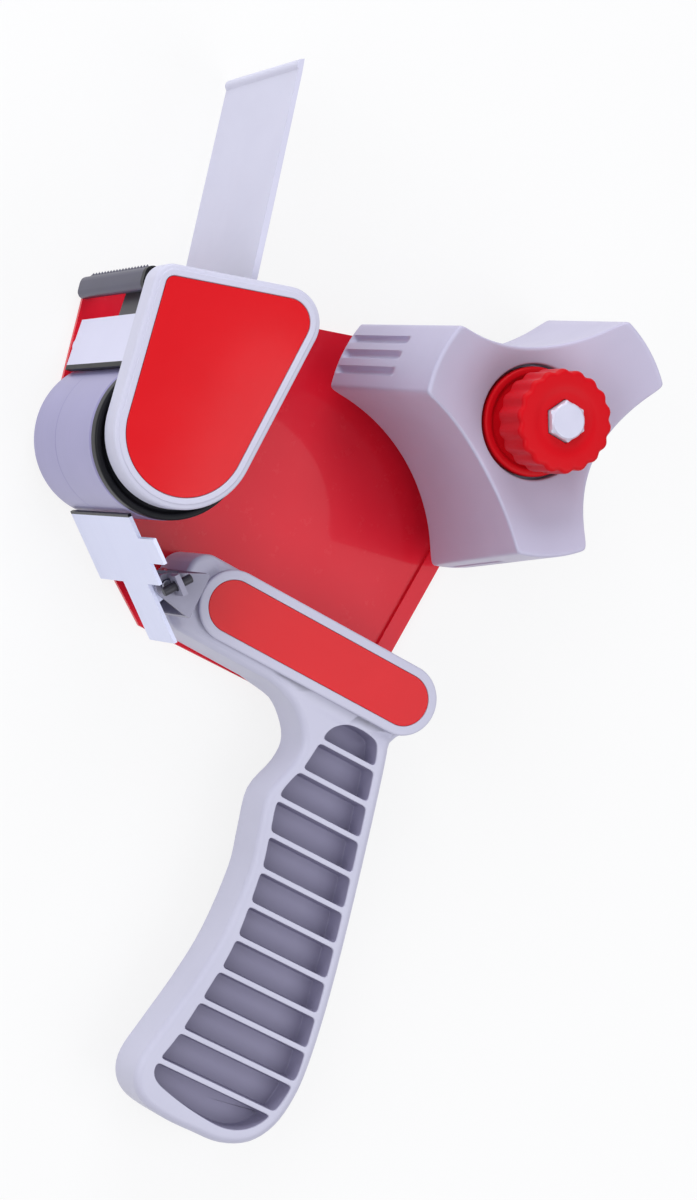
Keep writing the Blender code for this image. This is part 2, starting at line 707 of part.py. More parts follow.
def make_wiper():
    bar = bmesh.new()
    half = WIPER_BAR_HEIGHT / 2
    thick = FLAP_THICK / 2 + GAP
    outline = [
        flap_point(WIPER_RUN - half, thick), flap_point(WIPER_RUN + half, thick),
        flap_point(WIPER_RUN + half, thick + WIPER_BAR_THICK), flap_point(WIPER_RUN - half, thick + WIPER_BAR_THICK),
    ]
    add_prism(bar, outline, ON_PLATE, NEAR_LOW - GAP)
    wiper_bar = piece("wiper_bar", bar, STEEL, 0.35, 1.0)
    spigots = bmesh.new()
    add_turned(spigots, pin_profile(WIPER_SPIGOT, FLOOR_REVEAL, ON_PLATE + 2), *WIPER_BAR, 16)
    add_turned(spigots, pin_profile(WIPER_SPIGOT, NEAR_LOW - 2, NEAR_HIGH - FLOOR_REVEAL), *WIPER_BAR, 16)
    shape_with(wiper_bar, "UNION", "wiper_spigots", spigots)

    half_thick = FLAP_THICK / 2
    root_top, root_foot = FLAP_LENGTH + half_thick + GAP, FLAP_LENGTH + FLAP_ROOT
    root = bmesh.new()
    add_prism(root, [
        flap_point(root_top, -half_thick), flap_point(root_foot, -half_thick),
        flap_point(root_foot, half_thick), flap_point(root_top, half_thick),
    ], FLAP_LOW, FLAP_HIGH)
    wiper_root = piece("wiper_root", root, WHITE, 0.35)

    half_tip = FLAP_TIP_THICK / 2
    blade_edge = [flap_point(0, half_tip), flap_point(0.8, -half_tip)]
    for i in range(7):
        angle = math.pi * i / 6
        blade_edge.append(flap_point(FLAP_LENGTH + half_thick * math.sin(angle), -half_thick * math.cos(angle)))
    blade = bmesh.new()
    add_prism(blade, blade_edge, FLAP_LOW, FLAP_HIGH)
    piece("wiper_blade", blade, WHITE, 0.35, axis=flap_axis)

    heading = (math.cos(FLAP_LEAN), math.sin(FLAP_LEAN))
    holes = bmesh.new()
    for number, height in enumerate(RIVET_HEIGHTS, 1):
        x, y = flap_point(WIPER_RUN, -half_thick)
        grip = FLAP_THICK + GAP + WIPER_BAR_THICK
        rivet = bmesh.new()
        head, crown = 1.8 * RIVET_RADIUS, 0.5 * RIVET_RADIUS
        profile = [
            (0, -GAP - crown), (0.7 * head, -GAP - crown), (head, -GAP), (RIVET_RADIUS, -GAP),
            (RIVET_RADIUS, grip + GAP), (head, grip + GAP), (0.7 * head, grip + GAP + crown), (0, grip + GAP + crown),
        ]
        add_rod(rivet, profile, (x, y, height), heading)
        piece(f"wiper_rivet_{number}", rivet, STEEL, 0.3, 1.0)
        add_rod(holes, pin_profile(RIVET_RADIUS + GAP, -2, grip + 2), (x, y, height), heading)
    helper = shape_with(wiper_bar, "DIFFERENCE", "rivet_holes", holes)
    cut = wiper_root.modifiers.new("rivet_holes", "BOOLEAN")
    cut.solver = "EXACT"
    cut.object = helper


# Front cover: a shell with a sunk panel for its red label, screwed on from behind


def make_cover():
    shell = bmesh.new()
    low = NEAR_LOW + COVER_SKIRT
    bevel = 0.35 * COVER_WALL
    outside = hull_of_rounds(COVER_EDGE)
    add_loft(shell, [
        (outside, low), (outside, COVER_HIGH - bevel), (hull_of_rounds(COVER_EDGE, -bevel), COVER_HIGH),
    ])
    cover = piece("front_cover", shell, WHITE)
    hollow = bmesh.new()
    add_prism(hollow, hull_of_rounds(COVER_EDGE, -COVER_WALL), low - 1, COVER_HIGH - COVER_WALL - LABEL_SINK)
    shape_with(cover, "DIFFERENCE", "cover_hollow", hollow)
    sink = bmesh.new()
    add_prism(sink, hull_of_rounds(COVER_EDGE, -COVER_RIM), COVER_HIGH - LABEL_SINK, COVER_HIGH + 1)
    shape_with(cover, "DIFFERENCE", "cover_sink", sink)
    bosses, bores = bmesh.new(), bmesh.new()
    face = COVER_HIGH - COVER_WALL - LABEL_SINK
    for number, (x, y) in enumerate(COVER_SCREWS, 1):
        add_turned(bosses, pin_profile(2 * SCREW_RADIUS, NEAR_HIGH + GAP, face + 1), x, y, 16)
        add_turned(bores, pin_profile(SCREW_RADIUS + GAP, NEAR_HIGH - 1, face), x, y, 16)
        pan_screw(f"cover_screw_{number}", x, y, NEAR_LOW - GAP, face - NEAR_LOW - GAP)
    shape_with(cover, "UNION", "cover_bosses", bosses)
    shape_with(cover, "DIFFERENCE", "cover_bores", bores)
    label = bmesh.new()
    floor = COVER_HIGH - LABEL_SINK + GAP
    add_prism(label, hull_of_rounds(COVER_EDGE, -COVER_RIM - GAP), floor, floor + LABEL_THICK)
    piece("cover_label", label, RED, 0.25)


# Rubbing roller: a drum on two end discs with plain bushes, turning on a fixed axle


def make_roller():
    inner = ROLLER_RADIUS - ROLLER_WALL
    bush_inner, bush_outer = AXLE_RADIUS + GAP, AXLE_RADIUS + GAP + BUSH_WALL
    disc, hole = inner - GAP, bush_outer + GAP
    far_low = ROLLER_LOW + GAP
    turned_piece("roller_drum", tube_profile(inner, ROLLER_RADIUS, ROLLER_LOW, ROLLER_HIGH), *ROLLER,
                 WHITE, 0.3, 0.3, roller_axis, 48)
    turned_piece("roller_far_end", tube_profile(hole, disc, far_low, far_low + ROLLER_END_THICK), *ROLLER,
                 WHITE, 0.4, 0.0, roller_axis, 32)
    near_profile = [
        (hole, BLACK_LOW - ROLLER_END_THICK), (disc, BLACK_LOW - ROLLER_END_THICK), (disc, BLACK_LOW),
        (ROLLER_RADIUS - 0.1, BLACK_LOW), (ROLLER_RADIUS - 0.1, BLACK_HIGH - 0.8),
        (ROLLER_RADIUS - 0.9, BLACK_HIGH), (hole, BLACK_HIGH),
    ]
    turned_piece("roller_black_end", near_profile, *ROLLER, DARK, 0.2, 0.0, roller_axis, 48)
    far_bush = tube_profile(bush_inner, bush_outer, far_low - 2 * GAP, far_low + 2 * ROLLER_END_THICK)
    turned_piece("roller_bush_far", far_bush, *ROLLER, WHITE, 0.5, 0.0, roller_axis, 20)
    near_bush = tube_profile(bush_inner, bush_outer, BLACK_LOW - 2 * ROLLER_END_THICK, BLACK_HIGH + GAP / 2)
    turned_piece("roller_bush_near", near_bush, *ROLLER, WHITE, 0.5, 0.0, roller_axis, 20)
    nut_high = NEAR_HIGH + GAP + NUT_HEIGHT
    axle = [
        (0, FLOOR_REVEAL), (SPIGOT_RADIUS, FLOOR_REVEAL), (SPIGOT_RADIUS, ON_PLATE), (AXLE_RADIUS, ON_PLATE),
        (AXLE_RADIUS, NEAR_LOW - GAP), (SPIGOT_RADIUS, NEAR_LOW - GAP), (SPIGOT_RADIUS, nut_high), (0, nut_high),
    ]
    turned_piece("roller_axle", axle, *ROLLER, STEEL, 0.3, 1.0, sides=20)
    nut = bmesh.new()
    add_prism(nut, hexagon(NUT_ACROSS_FLATS, *ROLLER), NEAR_HIGH + GAP, nut_high - GAP)
    axle_nut = piece("axle_nut", nut, STEEL, 0.3, 1.0)
    bore = bmesh.new()
    add_turned(bore, pin_profile(SPIGOT_RADIUS + GAP, NEAR_HIGH - 1, nut_high + 1), *ROLLER, 20)
    shape_with(axle_nut, "DIFFERENCE", "nut_bore", bore)


# Tape retainer: a plate that a small spring holds up to the roller, on a pin in a bracket


def make_retainer():
    low = ROLLER_LOW + FLOOR_REVEAL
    high = low + RETAINER_WIDE
    tongue_high = TONGUE_FROM + TONGUE_WIDTH
    edge = [
        (0, low), (0, high), (EAR_FROM, high), (EAR_FROM, high + EAR_REACH), (EAR_TO, high + EAR_REACH),
        (EAR_TO, high), (RETAINER_WIDE_RUN, high), (RETAINER_WIDE_RUN, tongue_high), (TONGUE_RUN, tongue_high),
        (TONGUE_RUN, TONGUE_FROM), (RETAINER_WIDE_RUN, TONGUE_FROM), (RETAINER_WIDE_RUN, low),
    ]
    sheet = bmesh.new()
    faces = [[sheet.verts.new((*retainer_point(run, drop), z)) for run, z in edge] for drop in (0, RETAINER_THICK)]
    for i in range(len(edge)):
        j = (i + 1) % len(edge)
        sheet.faces.new((faces[0][i], faces[0][j], faces[1][j], faces[1][i]))
    sheet.faces.new(faces[0][::-1])
    sheet.faces.new(faces[1])
    plate = piece("retainer_plate", sheet, STEEL, 0.3, 0.8, retainer_axis)
    loops, bores = bmesh.new(), bmesh.new()
    rounds = [
        (*retainer_point(PIVOT_RUN - 3.2, 0.6), 0.3), (*retainer_point(PIVOT_RUN + 3.2, 0.6), 0.3),
        (*PIVOT, KNUCKLE_RADIUS),
    ]
    for start in (TONGUE_FROM + GAP, tongue_high - GAP - KNUCKLE_LENGTH):
        add_prism(loops, hull_of_rounds(rounds, step=math.radians(30)), start, start + KNUCKLE_LENGTH)
    add_turned(bores, pin_profile(PIVOT_PIN + GAP, TONGUE_FROM - 1, tongue_high + 1), *PIVOT, 16)
    shape_with(plate, "UNION", "retainer_knuckles", loops)
    shape_with(plate, "DIFFERENCE", "retainer_bore", bores)

    lug_low = TONGUE_FROM - GAP - BRACKET_SHEET
    lug_high = tongue_high + GAP + BRACKET_SHEET
    turned_piece("retainer_pin", pin_profile(PIVOT_PIN, lug_low - GAP, lug_high + GAP), *PIVOT,
                 STEEL, 0.3, 1.0, sides=16)
    make_bracket(lug_low, lug_high)

    spring_low = TONGUE_FROM + 2 * GAP + KNUCKLE_LENGTH
    spring_high = tongue_high - 2 * GAP - KNUCKLE_LENGTH
    turn_radius = PIVOT_PIN + GAP + RETAINER_WIRE / 2 + 0.2
    coil = helix(turn_radius, spring_low, spring_high, RETAINER_COILS, RETAINER_WIRE)
    print(f"retainer_spring least gap {least_gap(coil, RETAINER_WIRE, 6):.2f} mm")
    wire_piece("retainer_spring", coil, RETAINER_WIRE, *PIVOT, DARK)


def make_bracket(lug_low, lug_high):
    front = BRACKET_FRONT
    base_top, base_foot = PIVOT[1] + BRACKET_RISE, PIVOT[1] - BRACKET_DROP
    base = bmesh.new()
    add_prism(base, [
        (front, base_foot), (front + BRACKET_SHEET, base_foot), (front + BRACKET_SHEET, base_top), (front, base_top),
    ], BRACKET_LOW, lug_high)
    bracket = piece("retainer_bracket", base, STEEL, 0.35, 0.9)
    lugs = bmesh.new()
    rear = front + BRACKET_SHEET / 2
    rounds = [(*PIVOT, LUG_RADIUS), (rear - 0.5, base_foot + 0.6, 0.5), (rear - 0.5, base_top - 0.6, 0.5)]
    for low in (lug_low, lug_high - BRACKET_SHEET):
        add_prism(lugs, hull_of_rounds(rounds, step=math.radians(30)), low, low + BRACKET_SHEET)
    shape_with(bracket, "UNION", "bracket_lugs", lugs)
    tab = bmesh.new()
    tab_drop = PIVOT_DROP + 1.0
    add_prism(tab, [
        retainer_point(STOP_RUN - 3, tab_drop), retainer_point(STOP_RUN + 3, tab_drop),
        retainer_point(STOP_RUN + 3, tab_drop + BRACKET_SHEET), retainer_point(STOP_RUN - 3, tab_drop + BRACKET_SHEET),
    ], lug_high - BRACKET_SHEET / 2, lug_high + 6.0)
    shape_with(bracket, "UNION", "bracket_tab", tab)
    bores = bmesh.new()
    add_turned(bores, pin_profile(PIVOT_PIN + GAP, lug_low - 1, lug_high + 1), *PIVOT, 16)
    stop_z = lug_high + 3.2
    across = (-RETAINER_SLOPE[1], RETAINER_SLOPE[0])
    add_rod(bores, pin_profile(STOP_RADIUS + GAP, 0, 12), (*retainer_point(STOP_RUN, 0), stop_z), across)
    for number, (y, z) in enumerate(BRACKET_SCREWS, 1):
        add_rod(bores, pin_profile(SCREW_RADIUS + GAP, -1, BRACKET_SHEET + 1), (front, y, z), (1, 0))
        screw = bmesh.new()
        head = 1.4
        add_rod(screw, [
            (0, -GAP - head), (1.7 * SCREW_RADIUS, -GAP - head), (1.7 * SCREW_RADIUS, -GAP), (SCREW_RADIUS, -GAP),
            (SCREW_RADIUS, HANDLE_SCREW_LENGTH), (0, HANDLE_SCREW_LENGTH),
        ], (front, y, z), (1, 0))
        piece(f"bracket_screw_{number}", screw, STEEL, 0.3, 1.0)
    shape_with(bracket, "DIFFERENCE", "bracket_bores", bores)
    stop = bmesh.new()
    add_rod(stop, pin_profile(STOP_RADIUS, 1.6, 10.5), (*retainer_point(STOP_RUN, 0), stop_z), across)
    piece("stop_screw", stop, DARK, 0.4, 0.7)


# Tape hub: a hollow moulding with three drafted arms, on a bush round the spindle


def make_hub():
    shell = bmesh.new()
    bevel_low = HUB_HIGH - HUB_BEVEL
    levels = [
        (HUB_LOW, HUB_FAR_RADIUS, HUB_ARM_HALF), (bevel_low, HUB_NEAR_RADIUS, HUB_ARM_HALF),
        (HUB_HIGH + 1, HUB_NEAR_RADIUS - HUB_BEVEL, HUB_ARM_HALF - 0.5 * HUB_BEVEL),
    ]
    add_loft(shell, [(star(radius, half, HUB_WAIST), z) for z, radius, half in levels])
    hub = piece("tape_hub", shell, WHITE, 0.4, 0.0, hub_axis)
    boss = SPINDLE_RADIUS + GAP + BUSH_WALL + GAP
    turned = bmesh.new()
    far_reach = HUB_FAR_RADIUS + 4
    add_turned(turned, [
        (boss, HUB_LOW - 1), (boss, SEAT_HIGH), (HUB_HOLE, SEAT_HIGH), (HUB_HOLE, HUB_HOLE_HIGH),
        (far_reach, HUB_HOLE_HIGH + HUB_DISH * (far_reach - HUB_HOLE)), (far_reach, HUB_HIGH + 20),
        (0, HUB_HIGH + 20), (0, HUB_LOW - 1),
    ], sides=40)
    shape_with(hub, "DIFFERENCE", "hub_bore", turned)
    hollow = bmesh.new()
    inside = star(HUB_NEAR_RADIUS - HUB_WALL, HUB_ARM_HALF - HUB_WALL, HUB_WAIST - HUB_WALL)
    add_prism(hollow, inside, HUB_LOW - 1, SEAT_HIGH - HUB_FLOOR)
    core = bmesh.new()
    add_turned(core, pin_profile(boss + HUB_WALL, HUB_LOW - 2, SEAT_HIGH), sides=32)
    cutter = shape_with(hub, "DIFFERENCE", "hub_hollow", hollow)
    shape_with(cutter, "DIFFERENCE", "hub_core", core)
    grooves = bmesh.new()
    groove_length = TAPE_WIDTH * 0.7
    groove_draft = (HUB_FAR_RADIUS - HUB_NEAR_RADIUS) * groove_length / (HUB_HIGH - HUB_LOW)
    for arm in range(3):
        heading = math.pi + arm * math.tau / 3
        along = Vector((math.cos(heading), math.sin(heading)))
        across = Vector((-along.y, along.x))
        for i in range(GROOVES):
            offset = (i - (GROOVES - 1) / 2) * GROOVE_STEP
            reach = math.sqrt(HUB_FAR_RADIUS**2 - offset**2)
            ends = []
            for z, radius in ((HUB_LOW + 2, reach), (HUB_LOW + groove_length, reach - groove_draft)):
                corners = [
                    along * (radius - GROOVE_DEPTH) + across * (offset - GROOVE_WIDTH / 2),
                    along * (radius + 4) + across * (offset - GROOVE_WIDTH / 2),
                    along * (radius + 4) + across * (offset + GROOVE_WIDTH / 2),
                    along * (radius - GROOVE_DEPTH) + across * (offset + GROOVE_WIDTH / 2),
                ]
                ends.append(([tuple(corner) for corner in corners], z))
            add_loft(grooves, ends)
    shape_with(hub, "DIFFERENCE", "hub_grooves", grooves)
    bush = tube_profile(SPINDLE_RADIUS + GAP, SPINDLE_RADIUS + GAP + BUSH_WALL, HUB_LOW + GAP, SEAT_HIGH - 2 * GAP)
    turned_piece("hub_bush", bush, 0, 0, WHITE, 0.5, 0.0, hub_axis, 24)


# Spindle and brake: a spring pushes a red disc on to the hub, harder as the knob is screwed in


def make_brake():
    spindle_high = SEAT_HIGH + FRICTION_THICK
    flange_high = HUB_LOW - 2 * GAP
    bore = BOLT_RADIUS + GAP
    spindle = [
        (0, FLOOR_REVEAL), (SPINDLE_SPIGOT, FLOOR_REVEAL), (SPINDLE_SPIGOT, ON_PLATE), (SPINDLE_FLANGE, ON_PLATE),
        (SPINDLE_FLANGE, flange_high), (SPINDLE_RADIUS, flange_high), (SPINDLE_RADIUS, spindle_high),
        (bore, spindle_high), (bore, BOLT_TIP_HEIGHT - 3), (0, BOLT_TIP_HEIGHT - 3),
    ]
    turned_piece("hub_spindle", spindle, 0, 0, STEEL, 0.3, 1.0)
    washer_inner = SPINDLE_RADIUS + GAP
    friction = tube_profile(washer_inner, DISC_RADIUS - 1, SEAT_HIGH + GAP, SEAT_HIGH + GAP + FRICTION_THICK)
    turned_piece("friction_washer", friction, 0, 0, (0.2, 0.18, 0.15), 0.9, 0.0, sides=32)
    disc = [
        (bore + GAP, DISC_LOW), (DISC_RADIUS, DISC_LOW), (DISC_RADIUS, DISC_HIGH - 0.8),
        (DISC_RADIUS - 0.8, DISC_HIGH), (bore + GAP, DISC_HIGH),
    ]
    turned_piece("brake_disc", disc, 0, 0, RED, 0.3, 0.0, sides=40)
    coil = helix(SPRING_RADIUS, DISC_HIGH + GAP, WASHER_LOW - GAP, SPRING_COILS, SPRING_WIRE)
    print(f"brake_spring least gap {least_gap(coil, SPRING_WIRE, 6):.2f} mm")
    wire_piece("brake_spring", coil, SPRING_WIRE, 0, 0, STEEL)
    spring_outer = SPRING_RADIUS + SPRING_WIRE / 2
    washer = tube_profile(bore + GAP, spring_outer, WASHER_LOW, WASHER_HIGH)
    turned_piece("thrust_washer", washer, 0, 0, STEEL, 0.3, 1.0, knob_axis)

    grip = bmesh.new()
    edge = scalloped(KNOB_RADIUS, KNOB_SCALLOPS, SCALLOP_DEPTH)
    crown = scalloped(KNOB_RADIUS - 1.0, KNOB_SCALLOPS, SCALLOP_DEPTH)
    add_loft(grip, [(crown, KNOB_LOW), (edge, KNOB_LOW + 1.0), (edge, KNOB_HIGH - 1.0), (crown, KNOB_HIGH)])
    knob = piece("brake_knob", grip, RED, 0.3, 0.0, knob_axis)
    hollow = bmesh.new()
    add_turned(hollow, [
        (0, KNOB_LOW - 1), (spring_outer + 2 * GAP, KNOB_LOW - 1), (spring_outer + 2 * GAP, WASHER_HIGH + GAP),
        (BOLT_RADIUS + GAP, WASHER_HIGH + GAP), (BOLT_RADIUS + GAP, KNOB_HIGH), (0, KNOB_HIGH),
    ])
    shape_with(knob, "DIFFERENCE", "knob_hollow", hollow)
    pocket = bmesh.new()
    add_prism(pocket, hexagon(BOLT_ACROSS_FLATS + 2 * GAP), HEAD_LOW - GAP, KNOB_HIGH + 1)
    shape_with(knob, "DIFFERENCE", "knob_pocket", pocket)
    head = bmesh.new()
    add_prism(head, hexagon(BOLT_ACROSS_FLATS), HEAD_LOW, HEAD_LOW + BOLT_HEAD)
    bolt = piece("knob_bolt", head, STEEL, 0.25, 1.0, knob_axis)
    shank = bmesh.new()
    add_turned(shank, pin_profile(BOLT_RADIUS, BOLT_TIP_HEIGHT, HEAD_LOW + 1), sides=20)
    shape_with(bolt, "UNION", "bolt_shank", shank)


# Handle: one moulding of barrel and ribbed grip, with a raised oblong for the barrel label


def make_handle():
    corner = BARREL_CORNER
    rounds = [
        (BARREL_FRONT + corner, BARREL_FOOT + corner, corner), (BARREL_BACK - corner, BARREL_FOOT + corner, corner),
        (BARREL_BACK - corner, BARREL_TOP - corner, corner), (BARREL_FRONT + corner, BARREL_TOP - corner, corner),
    ]
    barrel = bmesh.new()
    add_prism(barrel, hull_of_rounds(rounds), ON_PLATE, BARREL_HIGH)
    handle = piece("handle", barrel, WHITE)
    grip = bmesh.new()
    edge = smooth_loop(GRIP_EDGE, closed=False)
    drawn_in = []
    for before, here, after in zip(edge[-1:] + edge[:-1], edge, edge[1:] + edge[:1]):
        along = Vector(after) - Vector(before)
        inward = Vector((-along.y, along.x)).normalized()
        drawn_in.append(tuple(Vector(here) + inward * GRIP_ROUND))
    add_loft(grip, [
        (drawn_in, GRIP_LOW), (edge, GRIP_LOW + GRIP_ROUND), (edge, HANDLE_HIGH - GRIP_ROUND), (drawn_in, HANDLE_HIGH),
    ])
    shape_with(handle, "UNION", "grip", grip)
    oblong = bmesh.new()
    ends = [(OBLONG_FRONT, OBLONG_Y, OBLONG_HALF), (OBLONG_BACK, OBLONG_Y, OBLONG_HALF)]
    add_prism(oblong, hull_of_rounds(ends), ON_PLATE + 1.0, OBLONG_HIGH)
    shape_with(handle, "UNION", "oblong", oblong)
    sink = bmesh.new()
    add_prism(sink, hull_of_rounds(ends, -OBLONG_RIM), OBLONG_HIGH - LABEL_SINK, OBLONG_HIGH + 1)
    shape_with(handle, "DIFFERENCE", "oblong_sink", sink)
    region = smooth_loop(BAY_EDGE, 3)
    limits = [math.inf] + [RIB_TOP - RIB_PITCH * i for i in range(RIBS)] + [-math.inf]
    bays = bmesh.new()
    for top, foot in zip(limits, limits[1:]):
        bay = clip_band(region, max(foot + RIB_THICK / 2, -1e3), min(top - RIB_THICK / 2, 1e3))
        add_prism(bays, bay, HANDLE_HIGH - BAY_DEPTH, HANDLE_HIGH + 1)
        if top < math.inf:
            add_prism(bays, bay, GRIP_LOW - 1, GRIP_LOW + BAY_DEPTH)
    shape_with(handle, "DIFFERENCE", "bays", bays)
    bores = bmesh.new()
    for number, (x, y) in enumerate(HANDLE_SCREWS, 1):
        flush_screw(f"handle_screw_{number}", x, y)
        add_turned(bores, pin_profile(HANDLE_SCREW_RADIUS + GAP, 0, HANDLE_SCREW_LENGTH + 1), x, y, 16)
    for y, z in BRACKET_SCREWS:
        depth = HANDLE_SCREW_LENGTH + 1
        add_rod(bores, pin_profile(SCREW_RADIUS + GAP, 0, depth), (BRACKET_FRONT, y, z), (1, 0))
    shape_with(handle, "DIFFERENCE", "handle_bores", bores)
    label = bmesh.new()
    floor = OBLONG_HIGH - LABEL_SINK + GAP
    add_prism(label, hull_of_rounds(ends, -OBLONG_RIM - GAP), floor, floor + LABEL_THICK)
    piece("barrel_label", label, RED, 0.25)


def stand_on_origin():
    """Moves the whole gun so that the middle of its underside is the origin."""
    bpy.context.view_layer.update()
    graph = bpy.context.evaluated_depsgraph_get()
    corners = []
    for obj in bpy.context.scene.objects:
        if obj.type in ("MESH", "CURVE") and not obj.hide_render:
            solid = obj.evaluated_get(graph)
            corners += [solid.matrix_world @ vert.co for vert in solid.to_mesh().vertices]
            solid.to_mesh_clear()
    low = Vector([min(corner[i] for corner in corners) for i in range(3)])
    high = Vector([max(corner[i] for corner in corners) for i in range(3)])
    gun.location = (-(low.x + high.x) / 2, -(low.y + high.y) / 2, -low.z)
    print("gun frame moved by", [round(v, 6) for v in gun.location])


make_side_plate()
make_near_frame()
make_bridge()
make_blade()
make_wiper()
make_cover()
make_roller()
make_retainer()
make_hub()
make_brake()
make_handle()
stand_on_origin()
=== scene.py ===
import json
import math

import bmesh
import bpy
from mathutils import Matrix, Vector
from mathutils.geometry import delaunay_2d_cdt
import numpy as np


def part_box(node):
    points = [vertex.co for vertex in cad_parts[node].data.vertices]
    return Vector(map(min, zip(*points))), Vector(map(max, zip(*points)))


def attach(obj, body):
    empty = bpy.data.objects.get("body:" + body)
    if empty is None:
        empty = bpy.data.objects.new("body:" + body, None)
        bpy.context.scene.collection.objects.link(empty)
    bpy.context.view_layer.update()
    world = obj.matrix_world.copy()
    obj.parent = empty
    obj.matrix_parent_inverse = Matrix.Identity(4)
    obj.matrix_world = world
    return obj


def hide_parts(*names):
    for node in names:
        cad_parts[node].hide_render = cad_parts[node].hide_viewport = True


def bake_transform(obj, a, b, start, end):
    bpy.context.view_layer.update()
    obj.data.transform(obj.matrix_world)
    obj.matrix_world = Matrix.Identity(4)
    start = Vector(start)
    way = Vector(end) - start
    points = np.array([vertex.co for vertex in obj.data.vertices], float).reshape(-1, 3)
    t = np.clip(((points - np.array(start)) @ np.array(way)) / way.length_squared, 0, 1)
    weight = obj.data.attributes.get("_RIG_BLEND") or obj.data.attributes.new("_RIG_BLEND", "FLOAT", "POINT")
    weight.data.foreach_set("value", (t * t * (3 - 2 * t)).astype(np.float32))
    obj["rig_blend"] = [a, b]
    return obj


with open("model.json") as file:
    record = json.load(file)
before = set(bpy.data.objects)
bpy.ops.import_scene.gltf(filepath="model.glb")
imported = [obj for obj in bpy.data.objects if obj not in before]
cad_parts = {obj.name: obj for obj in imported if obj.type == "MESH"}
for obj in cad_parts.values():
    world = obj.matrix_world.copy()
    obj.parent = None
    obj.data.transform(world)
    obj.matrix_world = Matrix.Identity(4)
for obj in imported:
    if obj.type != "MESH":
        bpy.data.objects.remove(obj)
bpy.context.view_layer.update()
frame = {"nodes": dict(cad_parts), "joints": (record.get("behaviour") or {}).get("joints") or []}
cad = frame["nodes"]


# Table, light and camera: the gun lies on a plain white table under a broad soft box, which gives the
# reds their sheen, with a soft lamp beyond its top and one at its front, and a long lens looks down.
TABLE_HALF, TABLE_LEVEL, TABLE_GLOW = 20.0, -0.0003, 0.82
ROOM_GLOW, LAMP_COLOUR = 0.46, (0.94, 0.96, 1.0)
CAMERA_SPOT, CAMERA_LENS = (-339.302, -188.069, 833.563), 92.93
CAMERA_RIGHT = Vector((0.811611, 0.431543, 0.393774))
CAMERA_UP = Vector((-0.451638, 0.891034, -0.045623))
hub_axis = next(joint["pos_m"] for joint in frame["joints"] if joint["name"] == "hub_spin")


def place(x, y, z):
    """A point in the row's frame, from millimetres measured from the hub's axis."""
    return Vector((hub_axis[0] + x / 1000, hub_axis[1] + y / 1000, z / 1000))


class Wire:
    """A node's output. Sums written with it become Math nodes."""

    def __init__(self, nodes, socket):
        self.nodes = nodes
        self.socket = socket

    def sum(self, operation, first, second):
        return self.nodes.add("ShaderNodeMath", {"operation": operation}, {0: first, 1: second})

    def __add__(self, other):
        return self.sum("ADD", self, other)

    def __radd__(self, other):
        return self.sum("ADD", other, self)

    def __sub__(self, other):
        return self.sum("SUBTRACT", self, other)

    def __mul__(self, other):
        return self.sum("MULTIPLY", self, other)

    def __truediv__(self, other):
        return self.sum("DIVIDE", self, other)


class Nodes:
    """A node tree, filled by one method."""

    def __init__(self, tree, fresh=True):
        self.tree = tree
        if fresh:
            tree.nodes.clear()

    def add(self, kind, settings=None, sockets=None, output=0):
        made = self.tree.nodes.new(kind)
        for name, value in (settings or {}).items():
            setattr(made, name, value)
        for name, value in (sockets or {}).items():
            for one in value if isinstance(value, list) else [value]:
                if isinstance(one, Wire):
                    self.tree.links.new(one.socket, made.inputs[name])
                else:
                    made.inputs[name].default_value = one
        return Wire(self, made.outputs[output]) if made.outputs else None


def put_in_scene(name, data):
    obj = bpy.data.objects.new(name, data)
    bpy.context.scene.collection.objects.link(obj)
    return obj


def piece_from(name, bm, material):
    """An object of one material from a mesh that was being shaped, which is used up."""
    mesh = bpy.data.meshes.new(name)
    bm.to_mesh(mesh)
    bm.free()
    mesh.materials.append(material)
    return put_in_scene(name, mesh)


table_top = bpy.data.materials.new("table_top")
table_top.use_nodes = True
nodes = Nodes(table_top.node_tree)
matt = nodes.add("ShaderNodeBsdfDiffuse", {}, {"Color": (0.86, 0.86, 0.86, 1)})
glow = nodes.add("ShaderNodeEmission", {}, {"Color": (1, 1, 1, 1), "Strength": 1.0})
rays = [nodes.add("ShaderNodeLightPath", {}, {}, kind) for kind in (
    "Is Camera Ray", "Is Glossy Ray", "Is Transmission Ray")]
seen = (rays[0] + rays[1] + rays[2]) * TABLE_GLOW
shown = nodes.add("ShaderNodeMixShader", {}, {0: seen, 1: matt, 2: glow})
nodes.add("ShaderNodeOutputMaterial", {}, {"Surface": shown})
bm = bmesh.new()
bmesh.ops.create_grid(
    bm, x_segments=1, y_segments=1, size=TABLE_HALF, matrix=Matrix.Translation((0, 0, TABLE_LEVEL)))
table = piece_from("table", bm, table_top)

world = bpy.data.worlds.new("room")
world.use_nodes = True
bpy.context.scene.world = world
nodes = Nodes(world.node_tree)
room = nodes.add("ShaderNodeBackground", {}, {"Color": (0.96, 0.96, 1.0, 1), "Strength": ROOM_GLOW})
nodes.add("ShaderNodeOutputWorld", {}, {"Surface": room})

for lamp_name, spot, aim, size, power in (
    ("soft_box", (468, -228, 700), (468, -228, 0), 0.7, 2.9),
    ("lamp_beyond_top", (-480, 680, 470), (-40, -60, 20), 0.6, 4.6),
    ("lamp_at_front", (-560, -240, 470), (-40, -60, 20), 0.6, 1.9),
):
    lamp = put_in_scene(lamp_name, bpy.data.lights.new(lamp_name, "AREA"))
    lamp.data.size = size
    lamp.data.energy = power
    lamp.data.color = LAMP_COLOUR
    lamp.location = place(*spot)
    lamp.rotation_euler = (place(*aim) - lamp.location).to_track_quat("-Z", "Y").to_euler()

